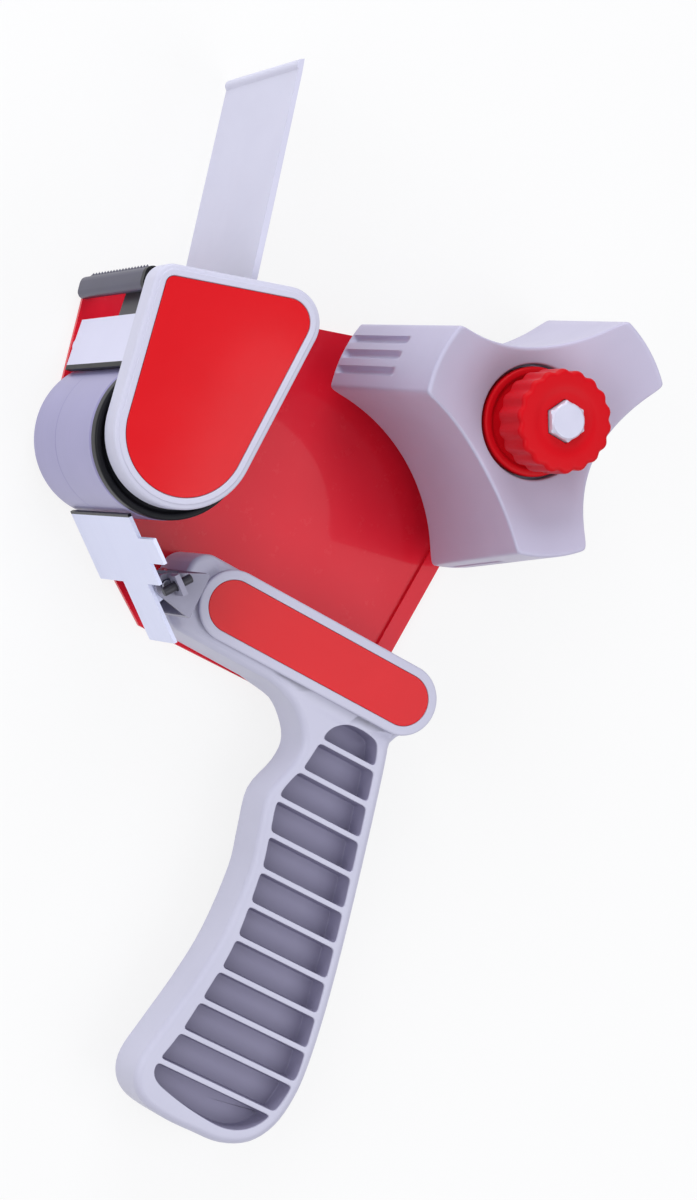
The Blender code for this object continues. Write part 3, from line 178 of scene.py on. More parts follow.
camera = put_in_scene("camera", bpy.data.cameras.new("camera"))
turn = Matrix((CAMERA_RIGHT, CAMERA_UP, CAMERA_RIGHT.cross(CAMERA_UP))).transposed().to_4x4()
camera.matrix_world = Matrix.Translation(place(*CAMERA_SPOT)) @ turn
camera.data.lens = CAMERA_LENS
camera.data.sensor_width = 36
camera.data.clip_start = 0.05
bpy.context.scene.camera = camera
bpy.context.scene.view_settings.view_transform = "Standard"


# Side plate: one pressed sheet of steel, painted glossy red, with its rear edge folded over into a
# flat hem. It carries everything else on spigots and flush screws.
EDGE_ANGLE, FLAT_ANGLE, SAME_SPOT = math.radians(38), math.radians(1), 2e-6


def linear(red, green, blue):
    """A colour as a paint chart gives it, 0 to 255, for a shader."""
    shares = [value / 255 for value in (red, green, blue)]
    return (*(s / 12.92 if s <= 0.04045 else ((s + 0.055) / 1.055) ** 2.4 for s in shares), 1.0)


def surface(name, constants):
    """A material with its shader's fixed values set, its nodes, its shader and the spot on the piece."""
    material = bpy.data.materials.new(name)
    material.use_nodes = True
    nodes = Nodes(material.node_tree)
    shader = nodes.add("ShaderNodeBsdfPrincipled", {}, constants)
    nodes.add("ShaderNodeOutputMaterial", {}, {"Surface": shader})
    spot = nodes.add("ShaderNodeTexCoord", {}, {}, "Object")
    return material, nodes, shader.socket.node, spot


def feed(nodes, shader, **wires):
    """Links wires to the shader's inputs of the same names."""
    for name, wire in wires.items():
        nodes.tree.links.new(wire.socket, shader.inputs[name.replace("_", " ").title()])


def noise(nodes, spot, scale, detail, **more):
    """A cloudy pattern, with its scale in marks to the metre."""
    return nodes.add("ShaderNodeTexNoise", {}, {"Vector": spot, "Scale": scale, "Detail": detail, **more})


def tinted(nodes, share, dark, light):
    """A colour that goes from the first to the second as the share grows."""
    return nodes.add("ShaderNodeMix", {"data_type": "RGBA"}, {0: share, 6: dark, 7: light}, 2)


def relief(nodes, height, strength, distance):
    return nodes.add("ShaderNodeBump", {}, {"Strength": strength, "Distance": distance, "Height": height})


def red_paint_finish():
    """Stoved gloss paint: a faint cloud in its colour, a little orange peel and fine scuffs."""
    material, nodes, shader, spot = surface("red_paint", {"Coat Roughness": 0.05, "Specular IOR Level": 0.16})
    cloud = noise(nodes, spot, 28.0, 3.0)
    peel = noise(nodes, spot, 700.0, 1.0)
    scuff = noise(nodes, spot, 220.0, 6.0, Roughness=0.7)
    feed(nodes, shader,
         base_color=tinted(nodes, cloud, linear(226, 24, 44), linear(238, 32, 52)),
         roughness=0.2 + scuff * 0.12, coat_weight=0.1 + cloud * 0.2,
         normal=relief(nodes, peel, strength=0.02, distance=0.0002))
    return material


def leave_plain(obj):
    """Leaves the object with the plain mesh that its modifiers make."""
    graph = bpy.context.evaluated_depsgraph_get()
    plain = bpy.data.meshes.new_from_object(
        obj.evaluated_get(graph), preserve_all_data_layers=True, depsgraph=graph)
    obj.modifiers.clear()
    obj.data = plain


def soft_normals(obj, ease=0.0):
    """Rounds an object's edges, evens its shading and leaves a plain mesh."""
    obj.data.shade_smooth()
    obj.data.set_sharp_from_angle(angle=EDGE_ANGLE)
    if ease:
        bevel = obj.modifiers.new("ease", "BEVEL")
        bevel.width = ease / 1000
        bevel.segments = 2
        bevel.limit_method = "ANGLE"
        bevel.angle_limit = EDGE_ANGLE
        bevel.harden_normals = True
    obj.modifiers.new("shading", "WEIGHTED_NORMAL").keep_sharp = True
    leave_plain(obj)


def settle(obj, body, slot, *stands_for):
    """Hands a finished piece to its body, in place of the plain solids it stands for."""
    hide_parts(*stands_for)
    if body:
        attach(obj, body)


def softened(node, body, slot, material, ease=0.3):
    """A copy of a plain solid with its edges rounded as pressed or moulded ones are."""
    bm = bmesh.new()
    bm.from_mesh(cad[node].data)
    bmesh.ops.remove_doubles(bm, verts=bm.verts, dist=SAME_SPOT)
    bmesh.ops.dissolve_limit(bm, angle_limit=FLAT_ANGLE, verts=bm.verts, edges=bm.edges)
    obj = piece_from(node + "_finished", bm, material)
    soft_normals(obj, ease)
    settle(obj, body, slot, node)


red_paint = red_paint_finish()
softened("side_plate", "frame", "red_paint", red_paint, ease=0.35)


# Near frame: a small dark sheet that holds the near ends of the roller, blade and flap, with a tab
# folded in behind the window under the blade.
def steel_finish(name, dark, light, roughness, metallic, grain=(40, 40, 900)):
    """Drawn or rolled metal, with fine lines along one way and a slight cloudiness."""
    material, nodes, shader, spot = surface(name, {"Metallic": metallic})
    drawn = nodes.add("ShaderNodeMapping", {}, {"Vector": spot, "Scale": grain})
    lines = noise(nodes, drawn, 4.0, 4.0)
    cloud = noise(nodes, spot, 60.0, 2.0)
    feed(nodes, shader,
         base_color=tinted(nodes, lines * 0.6 + cloud * 0.4, dark, light),
         roughness=roughness - 0.06 + lines * 0.12,
         normal=relief(nodes, lines, strength=0.06, distance=0.0001))
    return material


dark_paint = steel_finish("dark_paint", linear(48, 46, 52), linear(70, 68, 76), roughness=0.42, metallic=0.35)
softened("near_frame", "frame", "dark_steel", dark_paint)


# Front bridge: a pale moulded wall under the blade, with a screw boss behind it, that ties the side
# plate to the near frame. Its lower lip, next to the roller, is painted black: painted shade for the
# shadowed gap above the roller.
STRIP_TOP, STRIP_DOWN, STRIP_PALE = (-114.0, -28.3), (2.085, -14.7), 13.5


def painted_shade_beyond(material, start, along, run):
    """A copy of a finish that turns black, as painted shade, at a distance along a way from a point, in
    millimetres.
    """
    copy = material.copy()
    shader = next(node for node in copy.node_tree.nodes if node.type == "BSDF_PRINCIPLED")
    nodes = Nodes(copy.node_tree, fresh=False)
    spot = nodes.add("ShaderNodeTexCoord", {}, {}, "Object")
    way = Vector((*along, 0.0)).normalized()
    far = nodes.add("ShaderNodeVectorMath", {"operation": "DOT_PRODUCT"}, {0: spot, 1: tuple(way)}, 1)
    past = far.sum("GREATER_THAN", far, way.dot(place(*start, 0)) + run / 1000)
    plain = Wire(nodes, shader.inputs["Base Color"].links[0].from_socket)
    # Past that distance the colour is black and metallic, without sheen: painted shade.
    feed(nodes, shader, metallic=past, base_color=tinted(nodes, past, plain, linear(20, 20, 24)))
    return copy


def moulding_finish(name, dark, light, roughness, grain=0.05, coat=0.0, shine=0.5):
    """Moulded plastic: a fine spark texture from the tool, and slight flow marks in its colour."""
    material, nodes, shader, spot = surface(name, {
        "Coat Roughness": 0.12, "Coat Weight": coat, "Specular IOR Level": shine})
    flow = noise(nodes, spot, 35.0, 3.0, Distortion=0.6)
    spark = noise(nodes, spot, 2600.0, 1.0)
    rub = noise(nodes, spot, 160.0, 5.0, Roughness=0.65)
    feed(nodes, shader,
         base_color=tinted(nodes, flow, dark, light),
         roughness=roughness - 0.05 + rub * 0.12,
         normal=relief(nodes, spark, strength=grain, distance=0.0002))
    return material


pale_moulding = moulding_finish("pale_moulding", linear(214, 213, 234), linear(224, 223, 244), roughness=0.42)
painted_shade_lip = painted_shade_beyond(pale_moulding, STRIP_TOP, STRIP_DOWN, STRIP_PALE)
softened("front_bridge", "frame", "white_moulding", painted_shade_lip, ease=0.4)


# Blade: a toothed strip pressed into the slot of a rounded steel bar, whose near end has a black
# moulded cap. The bar sits on small spigots between plate and near frame.
HOLDER, HOLDER_LEAN = Vector((-116.6, -19.5)), math.radians(12)
HOLDER_UP = Vector((-math.sin(HOLDER_LEAN), math.cos(HOLDER_LEAN)))
HOLDER_FAR, HOLDER_NEAR, HOLDER_HALF, HOLDER_ROUND = 2.3, 55.5, 1.2, 2.2
CAP_LEVELS = [(-0.35, 55.5), (0.0, 55.85), (0.0, 58.0), (-0.45, 58.5)]
STRIP_RISE = 1.65


def build_finished(name, bm, material):
    """An object from a mesh in millimetres, with its normals out and its shading even."""
    bmesh.ops.recalc_face_normals(bm, faces=bm.faces)
    for vert in bm.verts:
        vert.co = place(*vert.co)
    obj = piece_from(name, bm, material)
    soft_normals(obj)
    return obj


def band(bm, low, high):
    """Faces between two rings of as many points each."""
    for i in range(len(low)):
        j = (i + 1) % len(low)
        bm.faces.new((low[i], low[j], high[j], high[i]))


def loft(bm, rings, closed=False):
    """Joins rings of as many points each into a skin, with its two ends filled unless it is closed."""
    made = [[bm.verts.new(point) for point in ring] for ring in rings]
    for low, high in zip(made, made[1:] + (made[:1] if closed else [])):
        band(bm, low, high)
    if not closed:
        bm.faces.new(made[0][::-1])
        bm.faces.new(made[-1])


def over_rounds(rounds, grow, step):
    """The edge that runs over round corners (x, y, radius), given anticlockwise, on straight tangents."""
    normals = []
    for first, second in zip(rounds, rounds[1:] + rounds[:1]):
        run = Vector(second[:2]) - Vector(first[:2])
        lean = math.acos((first[2] - second[2]) / run.length)
        normals.append(math.atan2(run.y, run.x) - lean)
    points = []
    for i, (x, y, radius) in enumerate(rounds):
        sweep = (normals[i] - normals[i - 1]) % math.tau
        count = max(1, math.ceil(sweep / step))
        for k in range(count + 1):
            angle = normals[i - 1] + sweep * k / count
            points.append((x + (radius + grow) * math.cos(angle), y + (radius + grow) * math.sin(angle)))
    return points


def edged(bm, edge, profile, step=math.radians(4)):
    """A skin that follows an edge over rounds, from one capped end of its profile (grow, z) to the other."""
    loft(bm, [[(x, y, z) for x, y in over_rounds(edge, grow, step)] for grow, z in profile])


def grown(name, build, sizes, spots, material):
    """Runs a geometry tree with named sizes on points in the row's frame, and leaves a plain mesh."""
    tree = bpy.data.node_groups.new(name, "GeometryNodeTree")
    tree.interface.new_socket("Geometry", in_out="INPUT", socket_type="NodeSocketGeometry")
    tree.interface.new_socket("Geometry", in_out="OUTPUT", socket_type="NodeSocketGeometry")
    keys = {}
    for size, value in sizes.items():
        kind = "NodeSocketInt" if isinstance(value, int) else "NodeSocketFloat"
        keys[size] = tree.interface.new_socket(size, in_out="INPUT", socket_type=kind).identifier
    nodes = Nodes(tree)
    inputs = tree.nodes.new("NodeGroupInput")
    shape = build(nodes, {entry.name: Wire(nodes, entry) for entry in inputs.outputs if entry.name})
    whole = nodes.add("GeometryNodeRealizeInstances", {}, {"Geometry": shape})
    painted = nodes.add("GeometryNodeSetMaterial", {}, {"Geometry": whole, "Material": material})
    nodes.add("NodeGroupOutput", {}, {0: painted})
    mesh = bpy.data.meshes.new(name)
    mesh.from_pydata([place(*spot) for spot in spots], [], [])
    obj = put_in_scene(name, mesh)
    modifier = obj.modifiers.new(name, "NODES")
    modifier.node_group = tree
    for size, value in sizes.items():
        modifier[keys[size]] = value
    leave_plain(obj)
    obj.data.shade_smooth()
    obj.data.set_sharp_from_angle(angle=EDGE_ANGLE)
    return obj


def vector(nodes, x=0.0, y=0.0, z=0.0):
    return nodes.add("ShaderNodeCombineXYZ", {}, {0: x, 1: y, 2: z})


def moved(nodes, shape, **way):
    """A shape moved by its Translation, Rotation or Scale."""
    return nodes.add("GeometryNodeTransform", {}, {"Geometry": shape, **way})


def on_points(nodes, points, shape):
    return nodes.add("GeometryNodeInstanceOnPoints", {}, {"Points": points, "Instance": shape})


def toothed_strip(nodes, size):
    """One strip in its slot and a row of ground teeth along its edge, leaning as the bar does."""
    thick, tall, pitch, teeth = (size[name] for name in ("Thickness", "Height", "Pitch", "Teeth"))
    strip = nodes.add("GeometryNodeMeshCube", {}, {"Size": vector(nodes, thick, tall, pitch * teeth)})
    tooth = nodes.add("GeometryNodeMeshCone", {}, {
        "Vertices": 4, "Radius Top": 0.0, "Radius Bottom": pitch * math.sqrt(0.5), "Depth": size["Rise"]})
    tooth = moved(nodes, tooth, Rotation=(0.0, 0.0, math.pi / 4))
    tooth = moved(nodes, tooth, Rotation=(-math.pi / 2, 0.0, 0.0))
    tooth = moved(nodes, tooth, Scale=vector(nodes, thick / pitch, 1.0, 1.0))
    row = nodes.add("GeometryNodeMeshLine", {}, {
        "Count": teeth,
        "Start Location": vector(nodes, y=tall * 0.5, z=pitch * (teeth - 1.0) * -0.5),
        "Offset": vector(nodes, z=pitch)})
    both = [strip, on_points(nodes, row, tooth)]
    whole = nodes.add("GeometryNodeJoinGeometry", {}, {"Geometry": both})
    return on_points(nodes, size["Geometry"], moved(nodes, whole, Rotation=(0.0, 0.0, HOLDER_LEAN)))


# The bar and the toothed strip are a dark bluish grey: painted reflection of dark surroundings mirrored in
# the steel.
blade_steel = steel_finish(
    "blade_steel", linear(38, 36, 58), linear(70, 68, 98), roughness=0.34, metallic=0.6, grain=(60, 60, 2))
black_moulding = moulding_finish(
    "black_moulding", linear(20, 20, 24), linear(30, 30, 35), roughness=0.36, grain=0.02, shine=0.15)
strip_sizes = {"Thickness": 0.0008, "Height": 0.0030, "Pitch": 0.0025, "Rise": 0.0011, "Teeth": 19}
strip_middle = (*(HOLDER + HOLDER_UP * STRIP_RISE), 0.5 * (HOLDER_FAR + HOLDER_NEAR))
strip = grown("cutter_strip", toothed_strip, strip_sizes, [strip_middle], blade_steel)
settle(strip, "frame", "blade_steel", "cutter_blade")
softened("blade_holder", "frame", "blade_steel", blade_steel, ease=0.15)
cap_ends = [(*(HOLDER + HOLDER_UP * half), HOLDER_ROUND) for half in (-HOLDER_HALF, HOLDER_HALF)]
bm = bmesh.new()
edged(bm, cap_ends, CAP_LEVELS, step=math.radians(12))
settle(build_finished("blade_bar_cap", bm, black_moulding), "frame", "black_moulding", "blade_end_cap")


# Wiper flap: one springy sheet of pale plastic that presses the tape down behind the cut. Its root is
# riveted to a cross bar, and it bends along a line just above that bar.
FLAP_TIP, FLAP_LEAN = Vector((-106.2, 54.0)), math.radians(14.5)
FLAP_DOWN = Vector((math.sin(FLAP_LEAN), -math.cos(FLAP_LEAN)))
FLAP_BACK = Vector((-FLAP_DOWN.y, FLAP_DOWN.x))
FLEX_RUN, FLEX_REACH, FLAP_END = 55.0, 6.0, 77.0
TIP_HALF, TAPER, TAPER_RUN, ROOT_HALF = 0.72, 0.26, 40, 0.99
FLAP_LEVELS = [(0.35, 2.5), (0.0, 2.85), (0.0, 20.0), (0.0, 40.0), (0.0, 56.65), (0.35, 57.0)]
RIVET_RUN, RIVET_BACK, RIVET_LEVELS = 69.0, 2.65, (16.125, 43.375)
DOME_SHARE, DOME_FLATNESS = 1.8, 0.28


def flap_at(run, back):
    return FLAP_TIP + FLAP_DOWN * run + FLAP_BACK * back


def flap_section():
    """The flap seen from the side (run, back): a bead at its tip, a taper, and close steps where it bends."""
    bead = [(0.1, 0.2), (0.5, -0.75), (1.2, -1.3), (2.1, -1.45), (2.8, -1.2), (3.3, -TIP_HALF)]
    taper = [(run, -TIP_HALF - TAPER * min(1.0, run / TAPER_RUN)) for run in (4, 8, 14, 20, 26, 32, 38, 43)]
    root = [(45 + 1.25 * i, -ROOT_HALF) for i in range(17)] + [(70, -ROOT_HALF), (FLAP_END, -ROOT_HALF)]
    back_side = [(run, -back) for run, back in taper + root] + [(0.0, 0.55)]
    return bead + taper + root + sorted(back_side, reverse=True)


def flap_ring(section, pull, z):
    """The section at one level, drawn in by a pull at the flap's two sides."""
    ring = []
    for run, back in section:
        ring.append((*flap_at(min(max(run, pull), FLAP_END - pull), back * (1 - 0.5 * pull)), z))
    return ring


flap_plastic = moulding_finish("flap_plastic", linear(204, 203, 222), linear(217, 216, 234), roughness=0.38)
bm = bmesh.new()
loft(bm, [flap_ring(flap_section(), pull, z) for pull, z in FLAP_LEVELS])
flap = build_finished("wiper_flap", bm, flap_plastic)
settle(flap, None, "flap_plastic", "wiper_root", "wiper_blade")
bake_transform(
    flap, "frame", "wiper", start=place(*flap_at(FLEX_RUN + FLEX_REACH, 0), 30),
    end=place(*flap_at(FLEX_RUN - FLEX_REACH, 0), 30))

bright_steel = steel_finish(
    "bright_steel", linear(176, 176, 190), linear(214, 214, 226), roughness=0.3, metallic=0.9)
softened("wiper_bar", "frame", "bright_steel", bright_steel)


def domed_rivets(nodes, size):
    """A shank with a low dome at each end, on every point."""
    parts = [nodes.add("GeometryNodeMeshCylinder", {}, {
        "Vertices": 24, "Radius": size["Radius"], "Depth": size["Grip"]})]
    for end in (-0.5, 0.5):
        dome = nodes.add("GeometryNodeMeshUVSphere", {}, {
            "Segments": 24, "Rings": 10, "Radius": size["Radius"] * DOME_SHARE})
        parts.append(moved(
            nodes, dome, Scale=(1.0, 1.0, DOME_FLATNESS), Translation=vector(nodes, z=size["Grip"] * end)))
    whole = nodes.add("GeometryNodeMeshBoolean", {"operation": "UNION", "solver": "EXACT"}, {"Mesh 2": parts})
    return on_points(nodes, size["Geometry"], moved(nodes, whole, Rotation=(0.0, math.pi / 2, FLAP_LEAN)))


rivet_spots = [(*flap_at(RIVET_RUN, RIVET_BACK), z) for z in RIVET_LEVELS]
rivets = grown("flap_rivets", domed_rivets, {"Radius": 0.0015, "Grip": 0.0079}, rivet_spots, bright_steel)
settle(rivets, "frame", "bright_steel", "wiper_rivet_1", "wiper_rivet_2")


# Rubbing roller: a satin tube that presses the tape on to the box, with a glossy black end, turning
# on two plain bushes round a fixed steel axle.
ROLLER, ROLLER_SIDES = (-91.7, -54.5), 128
TUBE_PROFILE = [
    (19.0, 4.3, 0.3), (21.6, 4.3, 0.5), (21.6, 23.7, 0), (21.45, 24.0, 0), (21.6, 24.3, 0),
    (21.6, 53.2, 0.3), (20.9, 54.0, 0.2), (19.0, 54.0, 0.3)]
BLACK_END_PROFILE = [
    (6.9, 50.3, 0.2), (18.7, 50.3, 0.2), (18.7, 54.3, 0), (21.5, 54.3, 0.4), (21.5, 58.2, 1.0),
    (19.8, 58.2, 0.5), (19.2, 57.3, 0.5), (9.0, 57.3, 0.4), (8.4, 58.2, 0.4), (6.9, 58.2, 0.2)]


def bow(start, corner, stop, t):
    """A point on the round that leaves start towards a corner and comes to stop."""
    return start * (1 - t) ** 2 + corner * 2 * t * (1 - t) + stop * t**2


def eased(corners, steps=5):
    """A closed line through corners (across, height, easing), each rounded by its easing."""
    line = []
    for i, (across, height, ease) in enumerate(corners):
        here = Vector((across, height))
        if not ease:
            line.append(here)
            continue
        ends = []
        for other in (corners[i - 1], corners[(i + 1) % len(corners)]):
            leg = Vector(other[:2]) - here
            ends.append(here + leg.normalized() * min(ease, 0.48 * leg.length))
        line += [bow(ends[0], here, ends[1], k / steps) for k in range(steps + 1)]
    return line


def turned(bm, profile, x, y, sides=96):
    """A closed profile (radius, z) turned round an axis at x and y."""
    angles = [math.tau * i / sides for i in range(sides)]
    loft(bm, [[(x + radius * math.cos(a), y + radius * math.sin(a), z) for a in angles]
              for radius, z in profile], closed=True)


roller_satin = steel_finish(
    "roller_satin", linear(143, 138, 179), linear(165, 160, 201),
    roughness=0.34, metallic=0.2, grain=(2, 2, 700))
bm = bmesh.new()
turned(bm, eased(TUBE_PROFILE), *ROLLER, ROLLER_SIDES)
settle(build_finished("roller_tube", bm, roller_satin), "roller", "roller_grey", "roller_drum")
bm = bmesh.new()
turned(bm, eased(BLACK_END_PROFILE), *ROLLER, ROLLER_SIDES)
settle(build_finished("roller_end", bm, black_moulding), "roller", "black_moulding", "roller_black_end")
bush_plastic = moulding_finish("bush_plastic", linear(198, 198, 200), linear(212, 212, 214), roughness=0.5)
for node in ("roller_far_end", "roller_bush_far", "roller_bush_near"):
    softened(node, "roller", "bush_plastic", bush_plastic, ease=0.2)
softened("roller_axle", "frame", "bright_steel", bright_steel, ease=0.2)
softened("axle_nut", "frame", "bright_steel", bright_steel)


# Front cover: a white moulded shell over the near frame, with a soft outer edge and a sunk panel that
# takes a glossy red label. The label is left bare.
COVER_EDGE = [(-92.0, -53.0, 20.0), (-80.6, -13.2, 9.6), (-113.2, -20.1, 5.6)]
COVER_PROFILE = [
    (-4.6, 67.0, 0), (-3.2, 67.0, 0.1), (-3.1, 68.0, 0.3), (-1.5, 68.0, 0.25), (-1.4, 67.65, 0.15),
    (0.0, 67.4, 1.3), (0.0, 59.7, 0.35), (-2.2, 59.7, 0.3), (-2.2, 64.8, 1.0), (-4.6, 64.8, 0)]
PANEL_PROFILE = [(-3.4, 67.3), (-3.28, 67.4), (-3.28, 67.78), (-3.4, 67.9)]

white_moulding = moulding_finish(
    "white_moulding", linear(198, 197, 216), linear(210, 209, 226), roughness=0.42)
bm = bmesh.new()
edged(bm, COVER_EDGE, eased(COVER_PROFILE, 6))
settle(build_finished("cover_shell", bm, white_moulding), "frame", "white_moulding", "front_cover")
red_label = moulding_finish(
    "red_label", linear(212, 16, 26), linear(222, 22, 32), roughness=0.1, grain=0.012, coat=0.06, shine=0.2)
bm = bmesh.new()
edged(bm, COVER_EDGE, PANEL_PROFILE)
settle(build_finished("cover_panel", bm, red_label), "frame", "red_label", "cover_label")


# Tape retainer: a plated sheet under the roller with an ear and a tongue, sprung up against the tape.
# It swings on a pin in a small bracket that two screws hold to the front of the barrel.
RETAINER_EDGE, RETAINER_UP, SHADE_RUN = (-92.1, -77.3), (-0.8, 0.6), -0.8
SPRING_SPOT = (-70.6, -87.8, 30.0)

plated_sheet = steel_finish(
    "plated_sheet", linear(216, 220, 248), linear(230, 233, 255),
    roughness=0.34, metallic=0.1, grain=(3, 3, 300))
# The plate's edge next to the roller turns black: painted shade for the shadowed gap between them.
painted_shade_edge = painted_shade_beyond(plated_sheet, RETAINER_EDGE, RETAINER_UP, SHADE_RUN)
softened("retainer_plate", "retainer", "plated_sheet", painted_shade_edge, ease=0.25)
# The bracket is a darker grey than plated steel: painted shade for the shaded recess at the barrel's front
# where it sits.
painted_shade_sheet = steel_finish(
    "painted_shade_sheet", linear(128, 126, 144), linear(166, 164, 182),
    roughness=0.4, metallic=0.3, grain=(3, 3, 300))
softened("retainer_bracket", "frame", "plated_sheet", painted_shade_sheet)
softened("retainer_pin", "frame", "bright_steel", bright_steel)
softened("stop_screw", "frame", "dark_steel", dark_paint)
for node in ("bracket_screw_1", "bracket_screw_2", "cover_screw_1", "cover_screw_2", "bridge_screw_near"):
    softened(node, "frame", "bright_steel", bright_steel, ease=0.25)


def wound_spring(nodes, size):
    """Round wire wound on an even helix, standing on every point."""
    line = nodes.add("GeometryNodeCurveSpiral", {}, {
        "Resolution": 40, "Rotations": size["Turns"], "Start Radius": size["Radius"],
        "End Radius": size["Radius"], "Height": size["Length"]})
    round_wire = nodes.add("GeometryNodeCurvePrimitiveCircle", {}, {
        "Resolution": 12, "Radius": size["Wire"] * 0.5})
    coil = nodes.add("GeometryNodeCurveToMesh", {}, {
        "Curve": line, "Profile Curve": round_wire, "Fill Caps": True})
    return on_points(nodes, size["Geometry"], coil)


coil_sizes = {"Turns": 5.0, "Radius": 0.0025, "Wire": 0.0008, "Length": 0.0080}
retainer_coil = grown("retainer_coil", wound_spring, coil_sizes, [SPRING_SPOT], dark_paint)
settle(retainer_coil, "frame", "dark_steel", "retainer_spring")


# Tape hub: one white moulding that the tape's core slides on. Three hollow arms with ribbed ends grip
# the core, the front is dished, and a bush inside it turns on the fixed spindle.
HUB_LOW, HUB_HIGH, HUB_FAR, HUB_NEAR = 10.8, 68.9, 42.5, 37.5
ARM_HALF, HUB_WAIST, HUB_WALL = 10.9, 20.8, 3.0
DISH_SLOPE, LIP_ROUND, HOLE_ROUND = 0.43, 1.4, 1.0
HUB_HOLE, HUB_SEAT, SEAT_WALL, HUB_BORE, HUB_BOSS = 16.2, 54.63, 5.0, 9.0, 12.0
GROOVE_APART, GROOVE_HALF, GROOVE_DEEP = 5.0, 1.15, 1.5
GROOVE_LOW, GROOVE_LOW_FADE, GROOVE_HIGH, GROOVE_HIGH_FADE = 11.8, 1.5, 46.5, 4.0
FOOT_SHRINK, ROOF_SHRINK, ROOF_ROUND, ARM_MIDDLE = 0.985, 0.97, 1.0, 24.0
WALL_LEVELS = (11.3, 11.9, 12.6, 13.4, 15.0, 24.0, 34.0, 41.5, 43.0, 44.2, 45.2, 46.0, 46.6, 48.0, 52.0)
TIP_STEPS, SIDE_STEPS, LIP_STEPS, SMOOTHING = 60, 40, 6, 6


def dish(radius):
    """The level of the hub's dished front."""
    return HUB_HIGH - DISH_SLOPE * (HUB_NEAR - radius)


def heading_of(arm):
    angle = math.pi + arm * math.tau / 3
    return angle, Vector((math.cos(angle), math.sin(angle)))


def smoothed(points, rounds):
    """A closed line with each point drawn towards its neighbours, a number of times."""
    for _ in range(rounds):
        points = [(points[i - 1] + 2 * p + points[(i + 1) % len(points)]) / 4 for i, p in enumerate(points)]
    return points


def arms(reach, half, waist):
    """The hub's edge seen along its axis: three arms with round ends and hollow sides."""
    lean = math.asin(half / reach)
    spread = math.pi / 3 - lean
    bow_centre = (reach**2 - waist**2) / (2 * (reach * math.cos(spread) - waist))
    end = math.atan2(reach * math.sin(spread), bow_centre - reach * math.cos(spread))
    points = []
    for arm in range(3):
        heading, _ = heading_of(arm)
        for i in range(TIP_STEPS + 1):
            angle = heading - lean + 2 * lean * i / TIP_STEPS
            points.append(Vector((reach * math.cos(angle), reach * math.sin(angle))))
        _, along = heading_of(arm + 0.5)
        across = Vector((-along.y, along.x))
        for i in range(1, SIDE_STEPS):
            turn = end * (2 * i / SIDE_STEPS - 1)
            reach_in = bow_centre - (bow_centre - waist) * math.cos(turn)
            points.append(along * reach_in + across * (bow_centre - waist) * math.sin(turn))
    return smoothed(points, SMOOTHING)


def hub_wall(far, near, i, z):
    """The hub's wall at a point of its edge and a level, with three grooves down the end of each arm."""
    spot = far[i].lerp(near[i], (z - HUB_LOW) / (HUB_HIGH - HUB_LOW))
    arm, step = divmod(i, TIP_STEPS + SIDE_STEPS)
    if step > TIP_STEPS:
        return spot
    _, along = heading_of(arm)
    sideways = abs(spot.dot(Vector((-along.y, along.x))))
    off = min(sideways, abs(sideways - GROOVE_APART)) / GROOVE_HALF
    rise = max(0.0, (z - GROOVE_LOW) / GROOVE_LOW_FADE)
    fall = max(0.0, (GROOVE_HIGH - z) / GROOVE_HIGH_FADE)
    return spot - along * GROOVE_DEEP * min(1.0, rise, fall) * math.sqrt(max(0.0, 1 - off * off))


def hub_skin(bm):
    """One closed skin: up the outside, over the lip, across the dish, down the bore, up inside the arms."""
    far, near = arms(HUB_FAR, ARM_HALF, HUB_WAIST), arms(HUB_NEAR, ARM_HALF, HUB_WAIST)
    inside = arms(HUB_NEAR - HUB_WALL, ARM_HALF - HUB_WALL, HUB_WAIST - HUB_WALL)
    around = [p.normalized() for p in near]
    count = range(len(far))
    lip = [dish(near[i].length) for i in count]
    top = WALL_LEVELS[-1]
    roof = HUB_SEAT - SEAT_WALL

    def on_wall(i, z):
        return Vector((*hub_wall(far, near, i, z), z))

    rings = [[(*(hub_wall(far, near, i, HUB_LOW) * FOOT_SHRINK), HUB_LOW) for i in count]]
    rings += [[on_wall(i, z) for i in count] for z in WALL_LEVELS]
    rings += [[on_wall(i, top + share * (lip[i] - LIP_ROUND - top)) for i in count] for share in (0.5, 1.0)]
    for k in range(1, LIP_STEPS + 1):
        ring = []
        for i in count:
            corner = on_wall(i, lip[i])
            inner = corner.xy - around[i] * LIP_ROUND
            stop = Vector((*inner, dish(inner.length)))
            ring.append(bow(on_wall(i, lip[i] - LIP_ROUND), corner, stop, k / LIP_STEPS))
        rings.append(ring)
    for share in (0.3, 0.6, 0.85):
        ring = []
        for i in count:
            radius = (near[i].length - LIP_ROUND) * (1 - share) + (HUB_HOLE + HOLE_ROUND) * share
            ring.append((*(around[i] * radius), dish(radius)))
        rings.append(ring)
    bore = eased([
        (HUB_HOLE + HOLE_ROUND, dish(HUB_HOLE + HOLE_ROUND), 0), (HUB_HOLE, dish(HUB_HOLE), 0.9),
        (HUB_HOLE, HUB_SEAT, 0.4), (HUB_BORE, HUB_SEAT, 0.3), (HUB_BORE, HUB_LOW, 0.3),
        (HUB_BOSS, HUB_LOW, 0.3), (HUB_BOSS, roof, 0)], 4)
    rings += [[(*(around[i] * radius), z) for i in count] for radius, z in bore]
    for scale, z in ((ROOF_SHRINK, roof), (1, roof - ROOF_ROUND), (1, ARM_MIDDLE), (1, HUB_LOW)):
        rings.append([(*(inside[i] * scale), z) for i in count])
    loft(bm, rings, closed=True)


hub_white = moulding_finish("hub_white", linear(188, 183, 206), linear(200, 195, 218), roughness=0.4)
bm = bmesh.new()
hub_skin(bm)
settle(build_finished("hub_moulding", bm, hub_white), "hub", "white_moulding", "tape_hub")
softened("hub_bush", "hub", "bush_plastic", bush_plastic, ease=0.2)
softened("hub_spindle", "frame", "bright_steel", bright_steel, ease=0.2)


